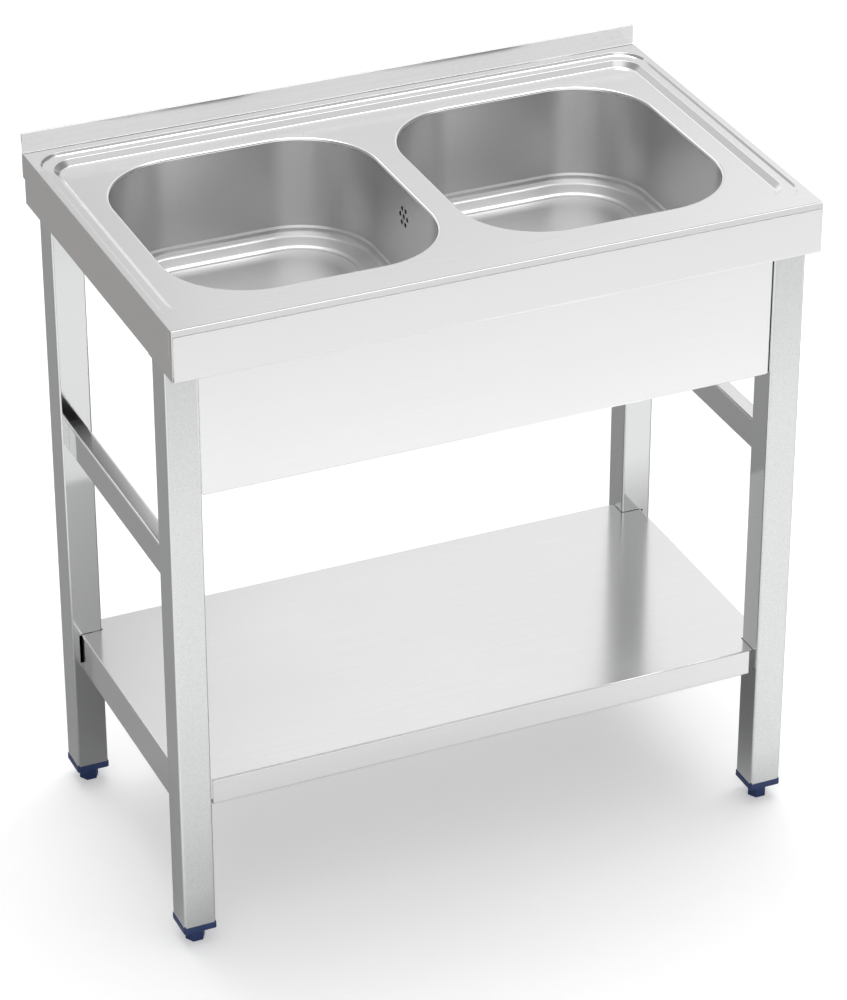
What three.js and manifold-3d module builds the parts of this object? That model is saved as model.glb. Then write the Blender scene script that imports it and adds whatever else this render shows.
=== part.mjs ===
// A free-standing stainless steel sink unit: a pressed top with two bowls, on a square-tube
// frame with a front panel, a bottom shelf and four levelling feet.
// Millimetres. +X runs to the right along the front, +Y to the wall, +Z up; the floor is z = 0.

import * as THREE from 'three';
import { mergeVertices } from 'three/addons/utils/BufferGeometryUtils.js';
import Module from 'manifold-3d';

const wasm = await Module();
wasm.setup();

// ---------------------------------------------------------------- driving dimensions

// Overall
const WIDTH = 800;
const DEPTH = 500; // from the apron's face to the back of the upstand
const RIM_HEIGHT = 843.5; // top of the raised rim with the feet screwed in
const SHEET = 1.2; // stainless sheet of the top, the bowls, the aprons, the panel and the shelf
const SEAM = 0.3; // gap between two pieces that are fastened together
const OVERLAP = 1; // how far two folds of one sheet run into each other where they join
const BEND = 2; // outside radius of a folded sheet edge

// Pressed top
const UPSTAND_RISE = 25;
const UPSTAND_DEPTH = 3; // front face of the upstand to its back
const UPSTAND_HEM = 12; // how far the upstand's top edge is folded back down
const UPSTAND_BEND = 3; // inside radius where the upstand turns up from the deck
const HEM_BEND = 0.6; // outside radius of the upstand's folded top
const HEM_INNER_BEND = 0.1;
const FRONT_DOWNTURN = 35; // height of the sheet edge folded down behind the front apron
const CORNER_TAB = 9; // width of the downturn's small return round each front corner
const RIM_SIDE = 7.5; // flat rim at the two sides
const RIM_FRONT = 21.7;
const RIM_BACK = 16.5;
const UPPER_STEP_WIDTH = 2;
const UPPER_STEP_DEPTH = 2.7;
const UPPER_STEP_CORNER = 35;
const TREAD_SIDE = 9.5; // flat between the two steps
const TREAD_FRONT = 17.5;
const TREAD_BACK = 14.7;
const LOWER_STEP_WIDTH = 7;
const LOWER_STEP_DEPTH = 6.3;
const LOWER_STEP_CORNER = 31;

// Bowls
const BOWL_WIDTH = 328; // wall to wall at the lip
const BOWL_LENGTH = 360;
const BOWL_SPACING = 364; // centre to centre
const BOWL_BACK = 67.6; // back wall to the back of the unit
const BOWL_CORNER = 100;
const BOWL_DEPTH = 150; // from the rim down to the floor's edge
const BOWL_FALL = 2; // the floor's fall to the waste
const LIP_RADIUS = 3.5;
const WALL_DRAFT = 3; // how far a wall leans in down to the ledge
const LEDGE_DEPTH = 111; // from the rim down to the ledge
const LEDGE_WIDTH = 3;
const LEDGE_HEIGHT = 5;
const FLOOR_FILLET = 28;
const WASTE_HOLE_RADIUS = 45;
const WASTE_RECESS_RADIUS = 58;
const WASTE_RECESS_DEPTH = 3;
const WASTE_RECESS_SLOPE = 2; // width of the slope round the recess

// Overflow
const OVERFLOW_HOLE_RADIUS = 2.8;
const OVERFLOW_PITCH = 9.6;
const OVERFLOW_DEPTH = 46.6; // from the rim down to the middle hole
const OVERFLOW_OFFSET = -4; // middle hole to the bowl's middle, to the front
const OVERFLOW_COVER_SIZE = 44;
const OVERFLOW_COVER_DEPTH = 11;
const OVERFLOW_COVER_WALL = 1.5;
const OVERFLOW_COVER_CORNER = 6;
const OVERFLOW_SEAL = 2;
const OVERFLOW_SEAL_WIDTH = 5;
const OVERFLOW_PIPE_RADIUS = 7;
const OVERFLOW_PIPE_WALL = 1.5;
const OVERFLOW_PIPE_BEND = 30;
const OVERFLOW_PIPE_GAP = 0.7; // spout to pipe
const SPOUT_LENGTH = 8;

// Wastes
const WASTE_FLANGE_RADIUS = 56.5;
const WASTE_WALL = 2.5;
const WASTE_FLANGE_CHAMFER = 2;
const WASTE_CUP_TAPER = 3; // height of the taper from the thread to the cup
const WASTE_TAIL_TAPER = 4; // height of the taper from the cup to the tail
const WASTE_THREAD_LENGTH = 22;
const WASTE_CUP_RADIUS = 38; // outside, at the bottom of the cup
const WASTE_CUP_DEPTH = 45;
const WASTE_TAIL_RADIUS = 20;
const WASTE_TAIL_LENGTH = 36;
const WASTE_STUB_LENGTH = 16;
const WASHER_THICKNESS = 2;
const BACK_NUT_HEIGHT = 8;
const BACK_NUT_RADIUS = 54;
const BACK_NUT_PLATE = 2.5; // thickness of the nut's flange
const BACK_NUT_STEP = 4; // flange's edge to the nut's collar
const BACK_NUT_LUG = 6; // width of a grip lug
const STRAINER_DEPTH = 26;
const STRAINER_RIM = 3; // width of the strainer's rim
const STRAINER_RIM_SINK = 2; // rim's top below the waste's flange
const STRAINER_FLOOR_INSET = 4; // cup's wall to the edge of the strainer's floor
const STRAINER_STEM_RADIUS = 2.5;
const STRAINER_KNOB_DROP = 6; // how far the knob's top stays below the basket's depth
const STRAINER_KNOB_HEIGHT = 2;
const STRAINER_WALL = 1;
const STRAINER_CLEARANCE = 0.6;
const STRAINER_HOLE_RADIUS = 2.6;
const STRAINER_KNOB_RADIUS = 7;

// Aprons
const APRON_HEIGHT = 63.4; // from the rim down
const APRON_REVEAL = 7.9; // strip of the top's edge that shows above the front apron
const APRON_RETURN = 12; // flange folded inwards along the bottom edge
const APRON_BACK_CUT = 7; // the side apron's lower back corner is cut back
const APRON_BACK_CUT_HEIGHT = 31;
const APRON_FLANGE_GAP = 5; // leg to the end of a side apron's flange

// Frame
const LEG = 40;
const LEG_WALL = 1.5;
const LEG_CORNER = 3;
const FRONT_LEG_SETBACK = 33; // apron face to the front legs' front faces
const REAR_LEG_SETBACK = 50; // back of the unit to the rear legs' back faces
const RAIL_WIDTH = 20;
const RAIL_HEIGHT = 40;
const RAIL_TOP = 521;
const PANEL_DROP = 232.5; // rim to the panel's bottom edge
const PANEL_SETBACK = 3.5; // front legs' front faces to the panel's face
const PANEL_FLANGE = 26; // side flange that lies along a leg
const PANEL_BOTTOM_FLANGE = 15;
const PANEL_SIDE_GAP = 0.5;
const PANEL_SCREW_INSET = 8; // back edge of the side flange to the screws
const PANEL_SCREW_SPACING = 140;
const CROSSBAR_HEIGHT = 60;
const CROSSBAR_DEPTH = 14;
const CROSSBAR_DROP = 53.5; // rim to the crossbar's top
const GUSSET = 30;
const GUSSET_THICKNESS = 3;
const TOP_STUD_RADIUS = 3;
const TOP_STUD_LENGTH = 18;
const TOP_NUT_RADIUS = 5.8;
const TOP_NUT_HEIGHT = 5;
const SCREW_RADIUS = 2.4;
const SCREW_CLEARANCE = 0.3;
const SCREW_HEAD_RADIUS = 4.5;
const SCREW_HEAD_HEIGHT = 2.5;
const SCREW_LENGTH = 7;

// Shelf
const SHELF_TOP = 223;
const SHELF_FRONT_SETBACK = 10; // front legs' front faces to the shelf's front flange
const SHELF_SIDE_INSET = 13; // legs' outer faces to the shelf's side flanges
const SHELF_BACK_SETBACK = 14; // rear legs' back faces to the shelf's back edge
const SHELF_FRONT_HEIGHT = 34;
const SHELF_SIDE_HEIGHT = 50;
const SHELF_RETURN = 10;
const SHELF_NOTCH_GAP = 1; // sheet to leg
const SHELF_END_GAP = 5; // end of the front flange to the leg
const BEARER_WIDTH = 14.5;
const BEARER_CORNER = 2.5;
const BEARER_INSERTION = 12; // how far a bearer's end reaches into a leg
const STIFFENER_WIDTH = 60;
const STIFFENER_HEIGHT = 28;
const STIFFENER_FLANGE = 15;

// Feet
const FOOT_HEIGHT = 20;
const FOOT_RADIUS = 12.4; // across corners, halved
const FOOT_CHAMFER = 1;
const CAP_PLATE = 8.1;
const CAP_OVERHANG = 0.8;
const CAP_PLUG_LENGTH = 32;
const CAP_PLUG_CORNER = 2;
const STUD_RADIUS = 5;
const STUD_LENGTH = 62;
const STUD_SEAT = 6; // bottom of the stud above the floor
const STUD_CHAMFER = 1;
const STUD_CLEARANCE = 0.3;

// Facets
const CORNER_STEPS = 6; // per quarter turn of a pressed corner, an even number
const STEP_STEPS = 4; // per pressed step
const LIP_STEPS = 4; // round a lip's quarter turn
const FILLET_STEPS = 5; // round a bowl's floor fillet
const ROUND_STEPS = 16; // round parts
const SMALL_ROUND_STEPS = 12; // round parts under 15 mm across
const HOLE_STEPS = 10;
const PIPE_SIDES = 10;
const PIPE_STEPS = 10; // along the overflow pipe
const CUT_MARGIN = 5; // how far a cutting solid runs past what it cuts
const FLATNESS = 0.002; // faces this near to one plane are one face

// ---------------------------------------------------------------- derived places

const FRONT = -DEPTH / 2;
const BACK = DEPTH / 2;
const DECK_HEIGHT = RIM_HEIGHT - UPPER_STEP_DEPTH - LOWER_STEP_DEPTH;
const DECK_UNDERSIDE = DECK_HEIGHT - SHEET;
const EDGE_FRONT = FRONT + SHEET + SEAM; // outer face of the top's front downturn
const UPSTAND_FACE = BACK - UPSTAND_DEPTH;
const APRON_BOTTOM = RIM_HEIGHT - APRON_HEIGHT;
const PANEL_BOTTOM = RIM_HEIGHT - PANEL_DROP;
const CROSSBAR_TOP = RIM_HEIGHT - CROSSBAR_DROP;
const LIP_BOTTOM = DECK_HEIGHT - LIP_RADIUS;

const BOWL_MIDDLE_Y = BACK - BOWL_BACK - BOWL_LENGTH / 2;
const BOWL_FLOOR = RIM_HEIGHT - BOWL_DEPTH;
const WASTE_LEVEL = BOWL_FLOOR - BOWL_FALL; // floor level at the edge of the waste's recess
const WASTE_SEAT = WASTE_LEVEL - WASTE_RECESS_DEPTH; // top of the recess's floor

const LEG_X = WIDTH / 2 - SHEET - SEAM - LEG / 2;
const LEG_INNER = LEG_X - LEG / 2;
const FRONT_LEG_Y = FRONT + FRONT_LEG_SETBACK + LEG / 2;
const REAR_LEG_Y = BACK - REAR_LEG_SETBACK - LEG / 2;
const CAP_BOTTOM = FOOT_HEIGHT + SEAM;
const LEG_BOTTOM = CAP_BOTTOM + CAP_PLATE + SEAM;
const GUSSET_TOP = DECK_UNDERSIDE - SEAM;
const LEG_TOP = GUSSET_TOP;
const FRONT_LEG_FACE = FRONT_LEG_Y - LEG / 2;
const REAR_LEG_BACK = REAR_LEG_Y + LEG / 2;
const LEG_GAP_FRONT = FRONT_LEG_Y + LEG / 2; // back face of the front legs
const LEG_GAP_BACK = REAR_LEG_Y - LEG / 2; // front face of the rear legs

const SHELF_UNDERSIDE = SHELF_TOP - SHEET;
const BEARER_OPENING_BOTTOM = SHELF_TOP - RAIL_HEIGHT - SHEET;
const BEARER_HEIGHT = SHELF_UNDERSIDE - BEARER_OPENING_BOTTOM - 2 * SEAM;
const SHELF_SIDE_X = WIDTH / 2 - SHEET - SEAM - SHELF_SIDE_INSET;
const BEARER_X = SHELF_SIDE_X - SHEET - SEAM - BEARER_WIDTH / 2;

// ---------------------------------------------------------------- materials

const steel = (roughness = 0.3) =>
  new THREE.MeshStandardMaterial({ color: 0xc9cacb, roughness, metalness: 1 });
const plastic = (color) => new THREE.MeshStandardMaterial({ color, roughness: 0.5, metalness: 0 });
const NAVY = 0x1f2c55;
const GREY = 0x8d9094;
const BLACK = 0x1a1a1a;

// ---------------------------------------------------------------- geometry helpers

const unit = new THREE.Group();

function place(name, geometry, material, position = [0, 0, 0]) {
  const mesh = new THREE.Mesh(geometry, material);
  mesh.name = name;
  mesh.position.set(...position);
  unit.add(mesh);
  return mesh;
}

// A closed geometry with shared vertices, as a solid that can be joined and cut.
function solid(geometry) {
  const bare = geometry.clone();
  bare.deleteAttribute('normal');
  bare.deleteAttribute('uv');
  const merged = mergeVertices(bare, 1e-4);
  return new wasm.Manifold(
    new wasm.Mesh({
      numProp: 3,
      vertProperties: new Float32Array(merged.attributes.position.array),
      triVerts: new Uint32Array(merged.index.array),
    }),
  );
}

// The solid's surface, with the flat faces that the joins and cuts split put together again.
function geometryOf(manifold) {
  const mesh = manifold.asOriginal().simplify(FLATNESS).getMesh();
  const geometry = new THREE.BufferGeometry();
  geometry.setAttribute('position', new THREE.BufferAttribute(mesh.vertProperties, 3));
  geometry.setIndex(new THREE.BufferAttribute(mesh.triVerts, 1));
  return geometry;
}

const join = (...geometries) => geometryOf(geometries.map(solid).reduce((a, b) => a.add(b)));
const cut = (geometry, ...tools) =>
  geometryOf(tools.map(solid).reduce((a, b) => a.subtract(b), solid(geometry)));

// The same piece for the other side of the unit.
function mirrored(geometry) {
  const copy = geometry.index ? geometry.clone() : mergeVertices(geometry);
  copy.scale(-1, 1, 1);
  const index = copy.index.array;
  for (let i = 0; i < index.length; i += 3) {
    [index[i], index[i + 1]] = [index[i + 1], index[i]];
  }
  return copy;
}

const forSide = (side, geometry) => (side < 0 ? geometry : mirrored(geometry));

function box(x0, x1, y0, y1, z0, z1) {
  const geometry = new THREE.BoxGeometry(x1 - x0, y1 - y0, z1 - z0);
  return geometry.translate((x0 + x1) / 2, (y0 + y1) / 2, (z0 + z1) / 2);
}

// A round bar or disc standing on z0.
function bar(radius, z0, z1, steps = ROUND_STEPS) {
  const geometry = new THREE.CylinderGeometry(radius, radius, z1 - z0, steps);
  return geometry.rotateX(Math.PI / 2).translate(0, 0, (z0 + z1) / 2);
}

// A turned part from a closed profile of [radius, height] points.
function turned(profile, steps = ROUND_STEPS) {
  const points = [...profile, profile[0]].map(([r, z]) => new THREE.Vector2(r, z));
  const geometry = new THREE.LatheGeometry(points, steps);
  geometry.rotateX(Math.PI / 2);
  return outward(geometry);
}

// Turns every face outwards if the enclosed volume comes out negative.
function outward(geometry) {
  const bare = geometry.clone();
  bare.deleteAttribute('normal');
  bare.deleteAttribute('uv');
  const merged = mergeVertices(bare, 1e-4);
  const position = merged.attributes.position;
  const index = Array.from(merged.index.array);
  const corner = [new THREE.Vector3(), new THREE.Vector3(), new THREE.Vector3()];
  const faces = [];
  let volume = 0;
  for (let i = 0; i < index.length; i += 3) {
    const [a, b, c] = index.slice(i, i + 3);
    if (a === b || b === c || c === a) continue;
    faces.push([a, b, c]);
    [a, b, c].forEach((k, n) => corner[n].fromBufferAttribute(position, k));
    volume += corner[0].dot(corner[1].clone().cross(corner[2]));
  }
  merged.setIndex(faces.flatMap(([a, b, c]) => (volume < 0 ? [a, c, b] : [a, b, c])));
  return merged;
}

// A rectangle with rounded corners, drawn anticlockwise.
function roundedShape(x0, x1, y0, y1, radius, Kind = THREE.Shape) {
  const shape = new Kind();
  shape.moveTo(x1, y1 - radius);
  shape.absarc(x1 - radius, y1 - radius, radius, 0, Math.PI / 2);
  shape.absarc(x0 + radius, y1 - radius, radius, Math.PI / 2, Math.PI);
  shape.absarc(x0 + radius, y0 + radius, radius, Math.PI, 1.5 * Math.PI);
  shape.absarc(x1 - radius, y0 + radius, radius, 1.5 * Math.PI, 2 * Math.PI);
  return shape;
}

function extruded(shape, length) {
  return new THREE.ExtrudeGeometry(shape, { depth: length, bevelEnabled: false, curveSegments: 1 });
}

// A rectangular tube with rounded corners, standing on z = 0 and centred on the axis.
function tube(width, depth, length, wall = LEG_WALL, corner = LEG_CORNER) {
  const shape = roundedShape(-width / 2, width / 2, -depth / 2, depth / 2, corner);
  const inner = [width / 2 - wall, depth / 2 - wall, corner - wall];
  shape.holes.push(roundedShape(-inner[0], inner[0], -inner[1], inner[1], inner[2], THREE.Path));
  return extruded(shape, length);
}

// A folded sheet seen from its end: a centre line of straight runs, given sheet thickness
// on its left-hand side, with rounded bends.
function foldedSection(line, bend = BEND) {
  const points = line.map(([u, v]) => new THREE.Vector2(u, v));
  const right = roundedLine(points, (turn) => (turn > 0 ? bend : bend - SHEET));
  const left = roundedLine(offsetLine(points, SHEET), (turn) => (turn > 0 ? bend - SHEET : bend));
  return new THREE.Shape([...right, ...left.reverse()]);
}

// The line moved sideways to its left, with mitred corners.
function offsetLine(points, distance) {
  const normal = (a, b) => b.clone().sub(a).normalize().rotateAround(new THREE.Vector2(), Math.PI / 2);
  return points.map((point, i) => {
    const before = normal(points[Math.max(i - 1, 0)], points[Math.max(i - 1, 0) + 1]);
    const after = normal(points[Math.min(i, points.length - 2)], points[Math.min(i, points.length - 2) + 1]);
    const miter = before.clone().add(after);
    return point.clone().addScaledVector(miter, (2 * distance) / miter.lengthSq());
  });
}

// The line with each inner corner replaced by an arc of three chords.
function roundedLine(points, radiusOf, chords = 3) {
  const result = [points[0]];
  for (let i = 1; i < points.length - 1; i += 1) {
    const inward = points[i].clone().sub(points[i - 1]).normalize();
    const outwardDir = points[i + 1].clone().sub(points[i]).normalize();
    const turn = inward.cross(outwardDir);
    const angle = Math.acos(THREE.MathUtils.clamp(inward.dot(outwardDir), -1, 1));
    const radius = radiusOf(turn);
    const reach = radius * Math.tan(angle / 2);
    const start = points[i].clone().addScaledVector(inward, -reach);
    const side = Math.sign(turn);
    const centre = start.clone().add(new THREE.Vector2(-inward.y, inward.x).multiplyScalar(side * radius));
    for (let k = 0; k <= chords; k += 1) {
      result.push(start.clone().rotateAround(centre, (side * angle * k) / chords));
    }
  }
  result.push(points[points.length - 1]);
  return result;
}

// A folded sheet running along X, its section drawn in Y and Z.
function foldAlongX(section, x0, x1) {
  const geometry = extruded(section, x1 - x0);
  const basis = new THREE.Matrix4().makeBasis(
    new THREE.Vector3(0, 1, 0),
    new THREE.Vector3(0, 0, 1),
    new THREE.Vector3(1, 0, 0),
  );
  return geometry.applyMatrix4(basis).translate(x0, 0, 0);
}

// A folded sheet running along Y, its section drawn in X and Z.
function foldAlongY(section, y0, y1) {
  return extruded(section, y1 - y0).rotateX(Math.PI / 2).translate(0, y1, 0);
}

// A folded sheet running along Z, its section drawn in X and Y.
function foldAlongZ(section, z0, z1) {
  return extruded(section, z1 - z0).translate(0, 0, z0);
}

// ---------------------------------------------------------------- pressed rings

// A ring is a list of points round a rounded rectangle, the same number on every ring, so that
// rings can be skinned together into a pressed sheet.
function ring({ x0, x1, y0, y1, corner, square = false }, inset, z) {
  const radius = Math.max(corner - inset, 1);
  const reachX = (x1 - x0) / 2 - inset - radius;
  const reachY = (y1 - y0) / 2 - inset - radius;
  const points = [];
  for (let quarter = 0; quarter < 4; quarter += 1) {
    const signX = quarter === 0 || quarter === 3 ? 1 : -1;
    const signY = quarter < 2 ? 1 : -1;
    for (let k = 0; k <= CORNER_STEPS; k += 1) {
      const angle = ((quarter + k / CORNER_STEPS) * Math.PI) / 2;
      const along = new THREE.Vector2(Math.cos(angle), Math.sin(angle));
      const stretch = square ? 1 / Math.max(Math.abs(along.x), Math.abs(along.y)) : 1;
      const x = (x0 + x1) / 2 + signX * reachX + radius * stretch * along.x;
      const y = (y0 + y1) / 2 + signY * reachY + radius * stretch * along.y;
      points.push(new THREE.Vector3(x, y, z));
    }
  }
  return points;
}

// A circular ring with the same number of points as the rounded ones.
function circleRing(x, y, radius, z) {
  const count = 4 * (CORNER_STEPS + 1);
  return Array.from({ length: count }, (_, i) => {
    const angle = ((i + 0.5) / count) * 2 * Math.PI;
    return new THREE.Vector3(x + radius * Math.cos(angle), y + radius * Math.sin(angle), z);
  });
}

// Skins successive rings. A looped skin closes from the last ring to the first, round an
// opening; otherwise the first and last rings are closed by flat caps.
function skin(rings, looped) {
  const count = rings[0].length;
  const points = rings.flat();
  const index = [];
  const bands = looped ? rings.length : rings.length - 1;
  for (let r = 0; r < bands; r += 1) {
    const next = (r + 1) % rings.length;
    for (let i = 0; i < count; i += 1) {
      const j = (i + 1) % count;
      const [a, b, c, d] = [r * count + i, r * count + j, next * count + j, next * count + i];
      index.push(a, b, c, a, c, d);
    }
  }
  if (!looped) {
    cap(points, index, rings[0], 0, true);
    cap(points, index, rings[rings.length - 1], (rings.length - 1) * count, false);
  }
  const geometry = new THREE.BufferGeometry().setFromPoints(points);
  geometry.setIndex(index);
  return outward(geometry);
}

function cap(points, index, edge, first, reversed) {
  const middle = new THREE.Vector3();
  edge.forEach((point) => middle.addScaledVector(point, 1 / edge.length));
  points.push(middle);
  const centre = points.length - 1;
  for (let i = 0; i < edge.length; i += 1) {
    const pair = [first + i, first + ((i + 1) % edge.length)];
    index.push(centre, ...(reversed ? pair.reverse() : pair));
  }
}

// ---------------------------------------------------------------- pressed top

const smooth = (t) => t * t * (3 - 2 * t);

// One pressed step, as [inset, height, slope] stations of an S curve.
function stepStations(width, depth, top) {
  return Array.from({ length: STEP_STEPS + 1 }, (_, k) => {
    const t = k / STEP_STEPS;
    return [t * width, top - depth * smooth(t), (depth / width) * 6 * t * (1 - t)];
  });
}

const rimOutline = {
  x0: -WIDTH / 2,
  x1: WIDTH / 2,
  y0: EDGE_FRONT + BEND,
  y1: UPSTAND_FACE - UPSTAND_BEND,
  corner: UPPER_STEP_CORNER,
  square: true,
};
const upperStep = {
  x0: -WIDTH / 2 + RIM_SIDE,
  x1: WIDTH / 2 - RIM_SIDE,
  y0: EDGE_FRONT + RIM_FRONT,
  y1: UPSTAND_FACE - RIM_BACK,
  corner: UPPER_STEP_CORNER,
};
const lowerStep = {
  x0: upperStep.x0 + UPPER_STEP_WIDTH + TREAD_SIDE,
  x1: upperStep.x1 - UPPER_STEP_WIDTH - TREAD_SIDE,
  y0: upperStep.y0 + UPPER_STEP_WIDTH + TREAD_FRONT,
  y1: upperStep.y1 - UPPER_STEP_WIDTH - TREAD_BACK,
  corner: LOWER_STEP_CORNER,
};

const bowlOutline = (side) => ({
  x0: (side * BOWL_SPACING) / 2 - BOWL_WIDTH / 2,
  x1: (side * BOWL_SPACING) / 2 + BOWL_WIDTH / 2,
  y0: BOWL_MIDDLE_Y - BOWL_LENGTH / 2,
  y1: BOWL_MIDDLE_Y + BOWL_LENGTH / 2,
  corner: BOWL_CORNER,
});

// The deck's sheet: flat rim, two pressed steps all round, and the lower deck.
function deckSheet() {
  const treadHeight = RIM_HEIGHT - UPPER_STEP_DEPTH;
  const stations = [
    ...stepStations(UPPER_STEP_WIDTH, UPPER_STEP_DEPTH, RIM_HEIGHT).map((s) => [upperStep, ...s]),
    ...stepStations(LOWER_STEP_WIDTH, LOWER_STEP_DEPTH, treadHeight).map((s) => [lowerStep, ...s]),
  ];
  const upper = stations.map(([outline, inset, z]) => ring(outline, inset, z));
  const lower = stations.map(([outline, inset, z, slope]) => {
    const length = Math.hypot(1, slope);
    return ring(outline, inset - (SHEET * slope) / length, z - SHEET / length);
  });
  const edge = [ring(rimOutline, 0, RIM_HEIGHT - SHEET), ring(rimOutline, 0, RIM_HEIGHT)];
  return skin([...lower.reverse(), ...edge, ...upper], false);
}

// The rolled-over lip of a bowl opening: a quarter turn of sheet swept round the opening.
function openingLip(side) {
  const outline = bowlOutline(side);
  const arc = (radius) =>
    Array.from({ length: LIP_STEPS + 1 }, (_, k) => {
      const angle = (k / LIP_STEPS) * (Math.PI / 2);
      const inset = -LIP_RADIUS + radius * Math.sin(angle);
      return ring(outline, inset, LIP_BOTTOM + radius * Math.cos(angle));
    });
  const flat = -LIP_RADIUS - OVERLAP;
  const top = [ring(outline, flat, DECK_HEIGHT), ...arc(LIP_RADIUS)];
  const underside = [...arc(LIP_RADIUS - SHEET).reverse(), ring(outline, flat, DECK_UNDERSIDE)];
  return skin([...top, ...underside], true);
}

function openingCutter(side) {
  const outline = bowlOutline(side);
  const bottom = ring(outline, -LIP_RADIUS, DECK_UNDERSIDE - CUT_MARGIN);
  const top = ring(outline, -LIP_RADIUS, DECK_HEIGHT + CUT_MARGIN);
  return skin([bottom, top], false);
}

// The upstand turns up from the deck's back edge and is hemmed over at its top.
function upstand() {
  const top = RIM_HEIGHT + UPSTAND_RISE;
  const line = [
    [UPSTAND_FACE - UPSTAND_BEND - OVERLAP, RIM_HEIGHT],
    [UPSTAND_FACE, RIM_HEIGHT],
    [UPSTAND_FACE, top],
    [BACK, top],
    [BACK, top - UPSTAND_HEM],
  ].reverse();
  const points = line.map(([y, z]) => new THREE.Vector2(y, z));
  const visible = roundedLine(points, (turn) => (turn < 0 ? UPSTAND_BEND : HEM_BEND));
  const inside = offsetLine(points, SHEET);
  const hidden = roundedLine(inside, (turn) => (turn < 0 ? UPSTAND_BEND + SHEET : HEM_INNER_BEND));
  return foldAlongX(new THREE.Shape([...visible, ...hidden.reverse()]), -WIDTH / 2, WIDTH / 2);
}

function frontDownturn() {
  const line = [
    [EDGE_FRONT + BEND + OVERLAP, RIM_HEIGHT],
    [EDGE_FRONT, RIM_HEIGHT],
    [EDGE_FRONT, RIM_HEIGHT - FRONT_DOWNTURN],
  ];
  return foldAlongX(foldedSection(line), -WIDTH / 2, WIDTH / 2);
}

function cornerTab(side) {
  const x = (side * WIDTH) / 2;
  const [x0, x1] = side < 0 ? [x, x + SHEET] : [x - SHEET, x];
  const top = RIM_HEIGHT - BEND;
  return box(x0, x1, EDGE_FRONT, EDGE_FRONT + CORNER_TAB, RIM_HEIGHT - FRONT_DOWNTURN, top);
}

function sinkTop() {
  const deck = cut(deckSheet(), openingCutter(-1), openingCutter(1));
  return join(deck, openingLip(-1), openingLip(1), upstand(), frontDownturn(), cornerTab(-1), cornerTab(1));
}

place('sink_top', sinkTop(), steel());

// ---------------------------------------------------------------- bowls

// Half-section of a bowl's inside as [inset, height] points, from the lip to the floor's edge.
function bowlSection() {
  const wall = [0, LIP_BOTTOM];
  const ledgeTop = RIM_HEIGHT - LEDGE_DEPTH;
  const ledge = Array.from({ length: STEP_STEPS }, (_, k) => {
    const t = k / (STEP_STEPS - 1);
    return [WALL_DRAFT + LEDGE_WIDTH * smooth(t), ledgeTop - LEDGE_HEIGHT * t];
  });
  const fillet = Array.from({ length: FILLET_STEPS + 1 }, (_, k) => {
    const angle = (k / FILLET_STEPS) * (Math.PI / 2);
    const inset = WALL_DRAFT + LEDGE_WIDTH + FLOOR_FILLET * (1 - Math.cos(angle));
    return [inset, BOWL_FLOOR + FLOOR_FILLET * (1 - Math.sin(angle))];
  });
  return [wall, ...ledge, ...fillet];
}

// The same section moved outwards by the sheet's thickness.
function outerSection(section) {
  const points = section.map(([inset, z]) => new THREE.Vector2(inset, z));
  return offsetLine(points, -SHEET).map((point) => [point.x, point.y]);
}

// The floor from its edge to the waste's recess: rings that turn from the bowl's outline
// into a circle, then the recess and its hole.
function floorRings(outline, edge, drop) {
  const x = (outline.x0 + outline.x1) / 2;
  const circle = (radius, z) => circleRing(x, BOWL_MIDDLE_Y, radius, z - drop);
  const recessEdge = circle(WASTE_RECESS_RADIUS + WASTE_RECESS_SLOPE, WASTE_LEVEL);
  const middle = edge.map((point, i) => {
    const between = point.clone().lerp(recessEdge[i], 0.5);
    return between.setZ(BOWL_FLOOR - BOWL_FALL / 2 - drop);
  });
  return [
    middle,
    recessEdge,
    circle(WASTE_RECESS_RADIUS, WASTE_SEAT),
    circle(WASTE_HOLE_RADIUS, WASTE_SEAT),
  ];
}

function bowlShell(side) {
  const outline = bowlOutline(side);
  const section = bowlSection();
  const inner = section.map(([inset, z]) => ring(outline, inset, z));
  const outer = outerSection(section).map(([inset, z]) => ring(outline, inset, z));
  outer[0] = ring(outline, -SHEET, LIP_BOTTOM);
  const innerFloor = floorRings(outline, inner[inner.length - 1], 0);
  const outerFloor = floorRings(outline, outer[outer.length - 1], SHEET);
  return skin([...inner, ...innerFloor, ...outerFloor.reverse(), ...outer.reverse()], true);
}

// The wall leans in as it goes down: its inset at a height, and its angle.
const wallFall = LIP_BOTTOM - (RIM_HEIGHT - LEDGE_DEPTH);
const wallAngle = Math.atan(WALL_DRAFT / wallFall);
const overflowZ = RIM_HEIGHT - OVERFLOW_DEPTH;
const overflowY = BOWL_MIDDLE_Y + OVERFLOW_OFFSET;
const overflowInset = ((LIP_BOTTOM - overflowZ) / wallFall) * WALL_DRAFT;

// Seven perforations: one in the middle and six round it.
function overflowHoles(wallX) {
  const drill = (y, z) =>
    bar(OVERFLOW_HOLE_RADIUS, -CUT_MARGIN, CUT_MARGIN, HOLE_STEPS)
      .rotateY(Math.PI / 2)
      .translate(wallX, y, z);
  const around = Array.from({ length: 6 }, (_, k) => {
    const angle = (k * Math.PI) / 3;
    const along = OVERFLOW_PITCH * Math.cos(angle);
    return drill(overflowY + along, overflowZ + OVERFLOW_PITCH * Math.sin(angle));
  });
  return [drill(overflowY, overflowZ), ...around];
}

// The bowl to the left of the middle; its overflow is in the wall next to the other bowl.
const leftOutline = bowlOutline(-1);
const bowlGeometry = cut(bowlShell(-1), ...overflowHoles(leftOutline.x1 - overflowInset));
place('bowl_left', bowlGeometry, steel());
place('bowl_right', mirrored(bowlGeometry), steel());

// ---------------------------------------------------------------- overflow

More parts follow.
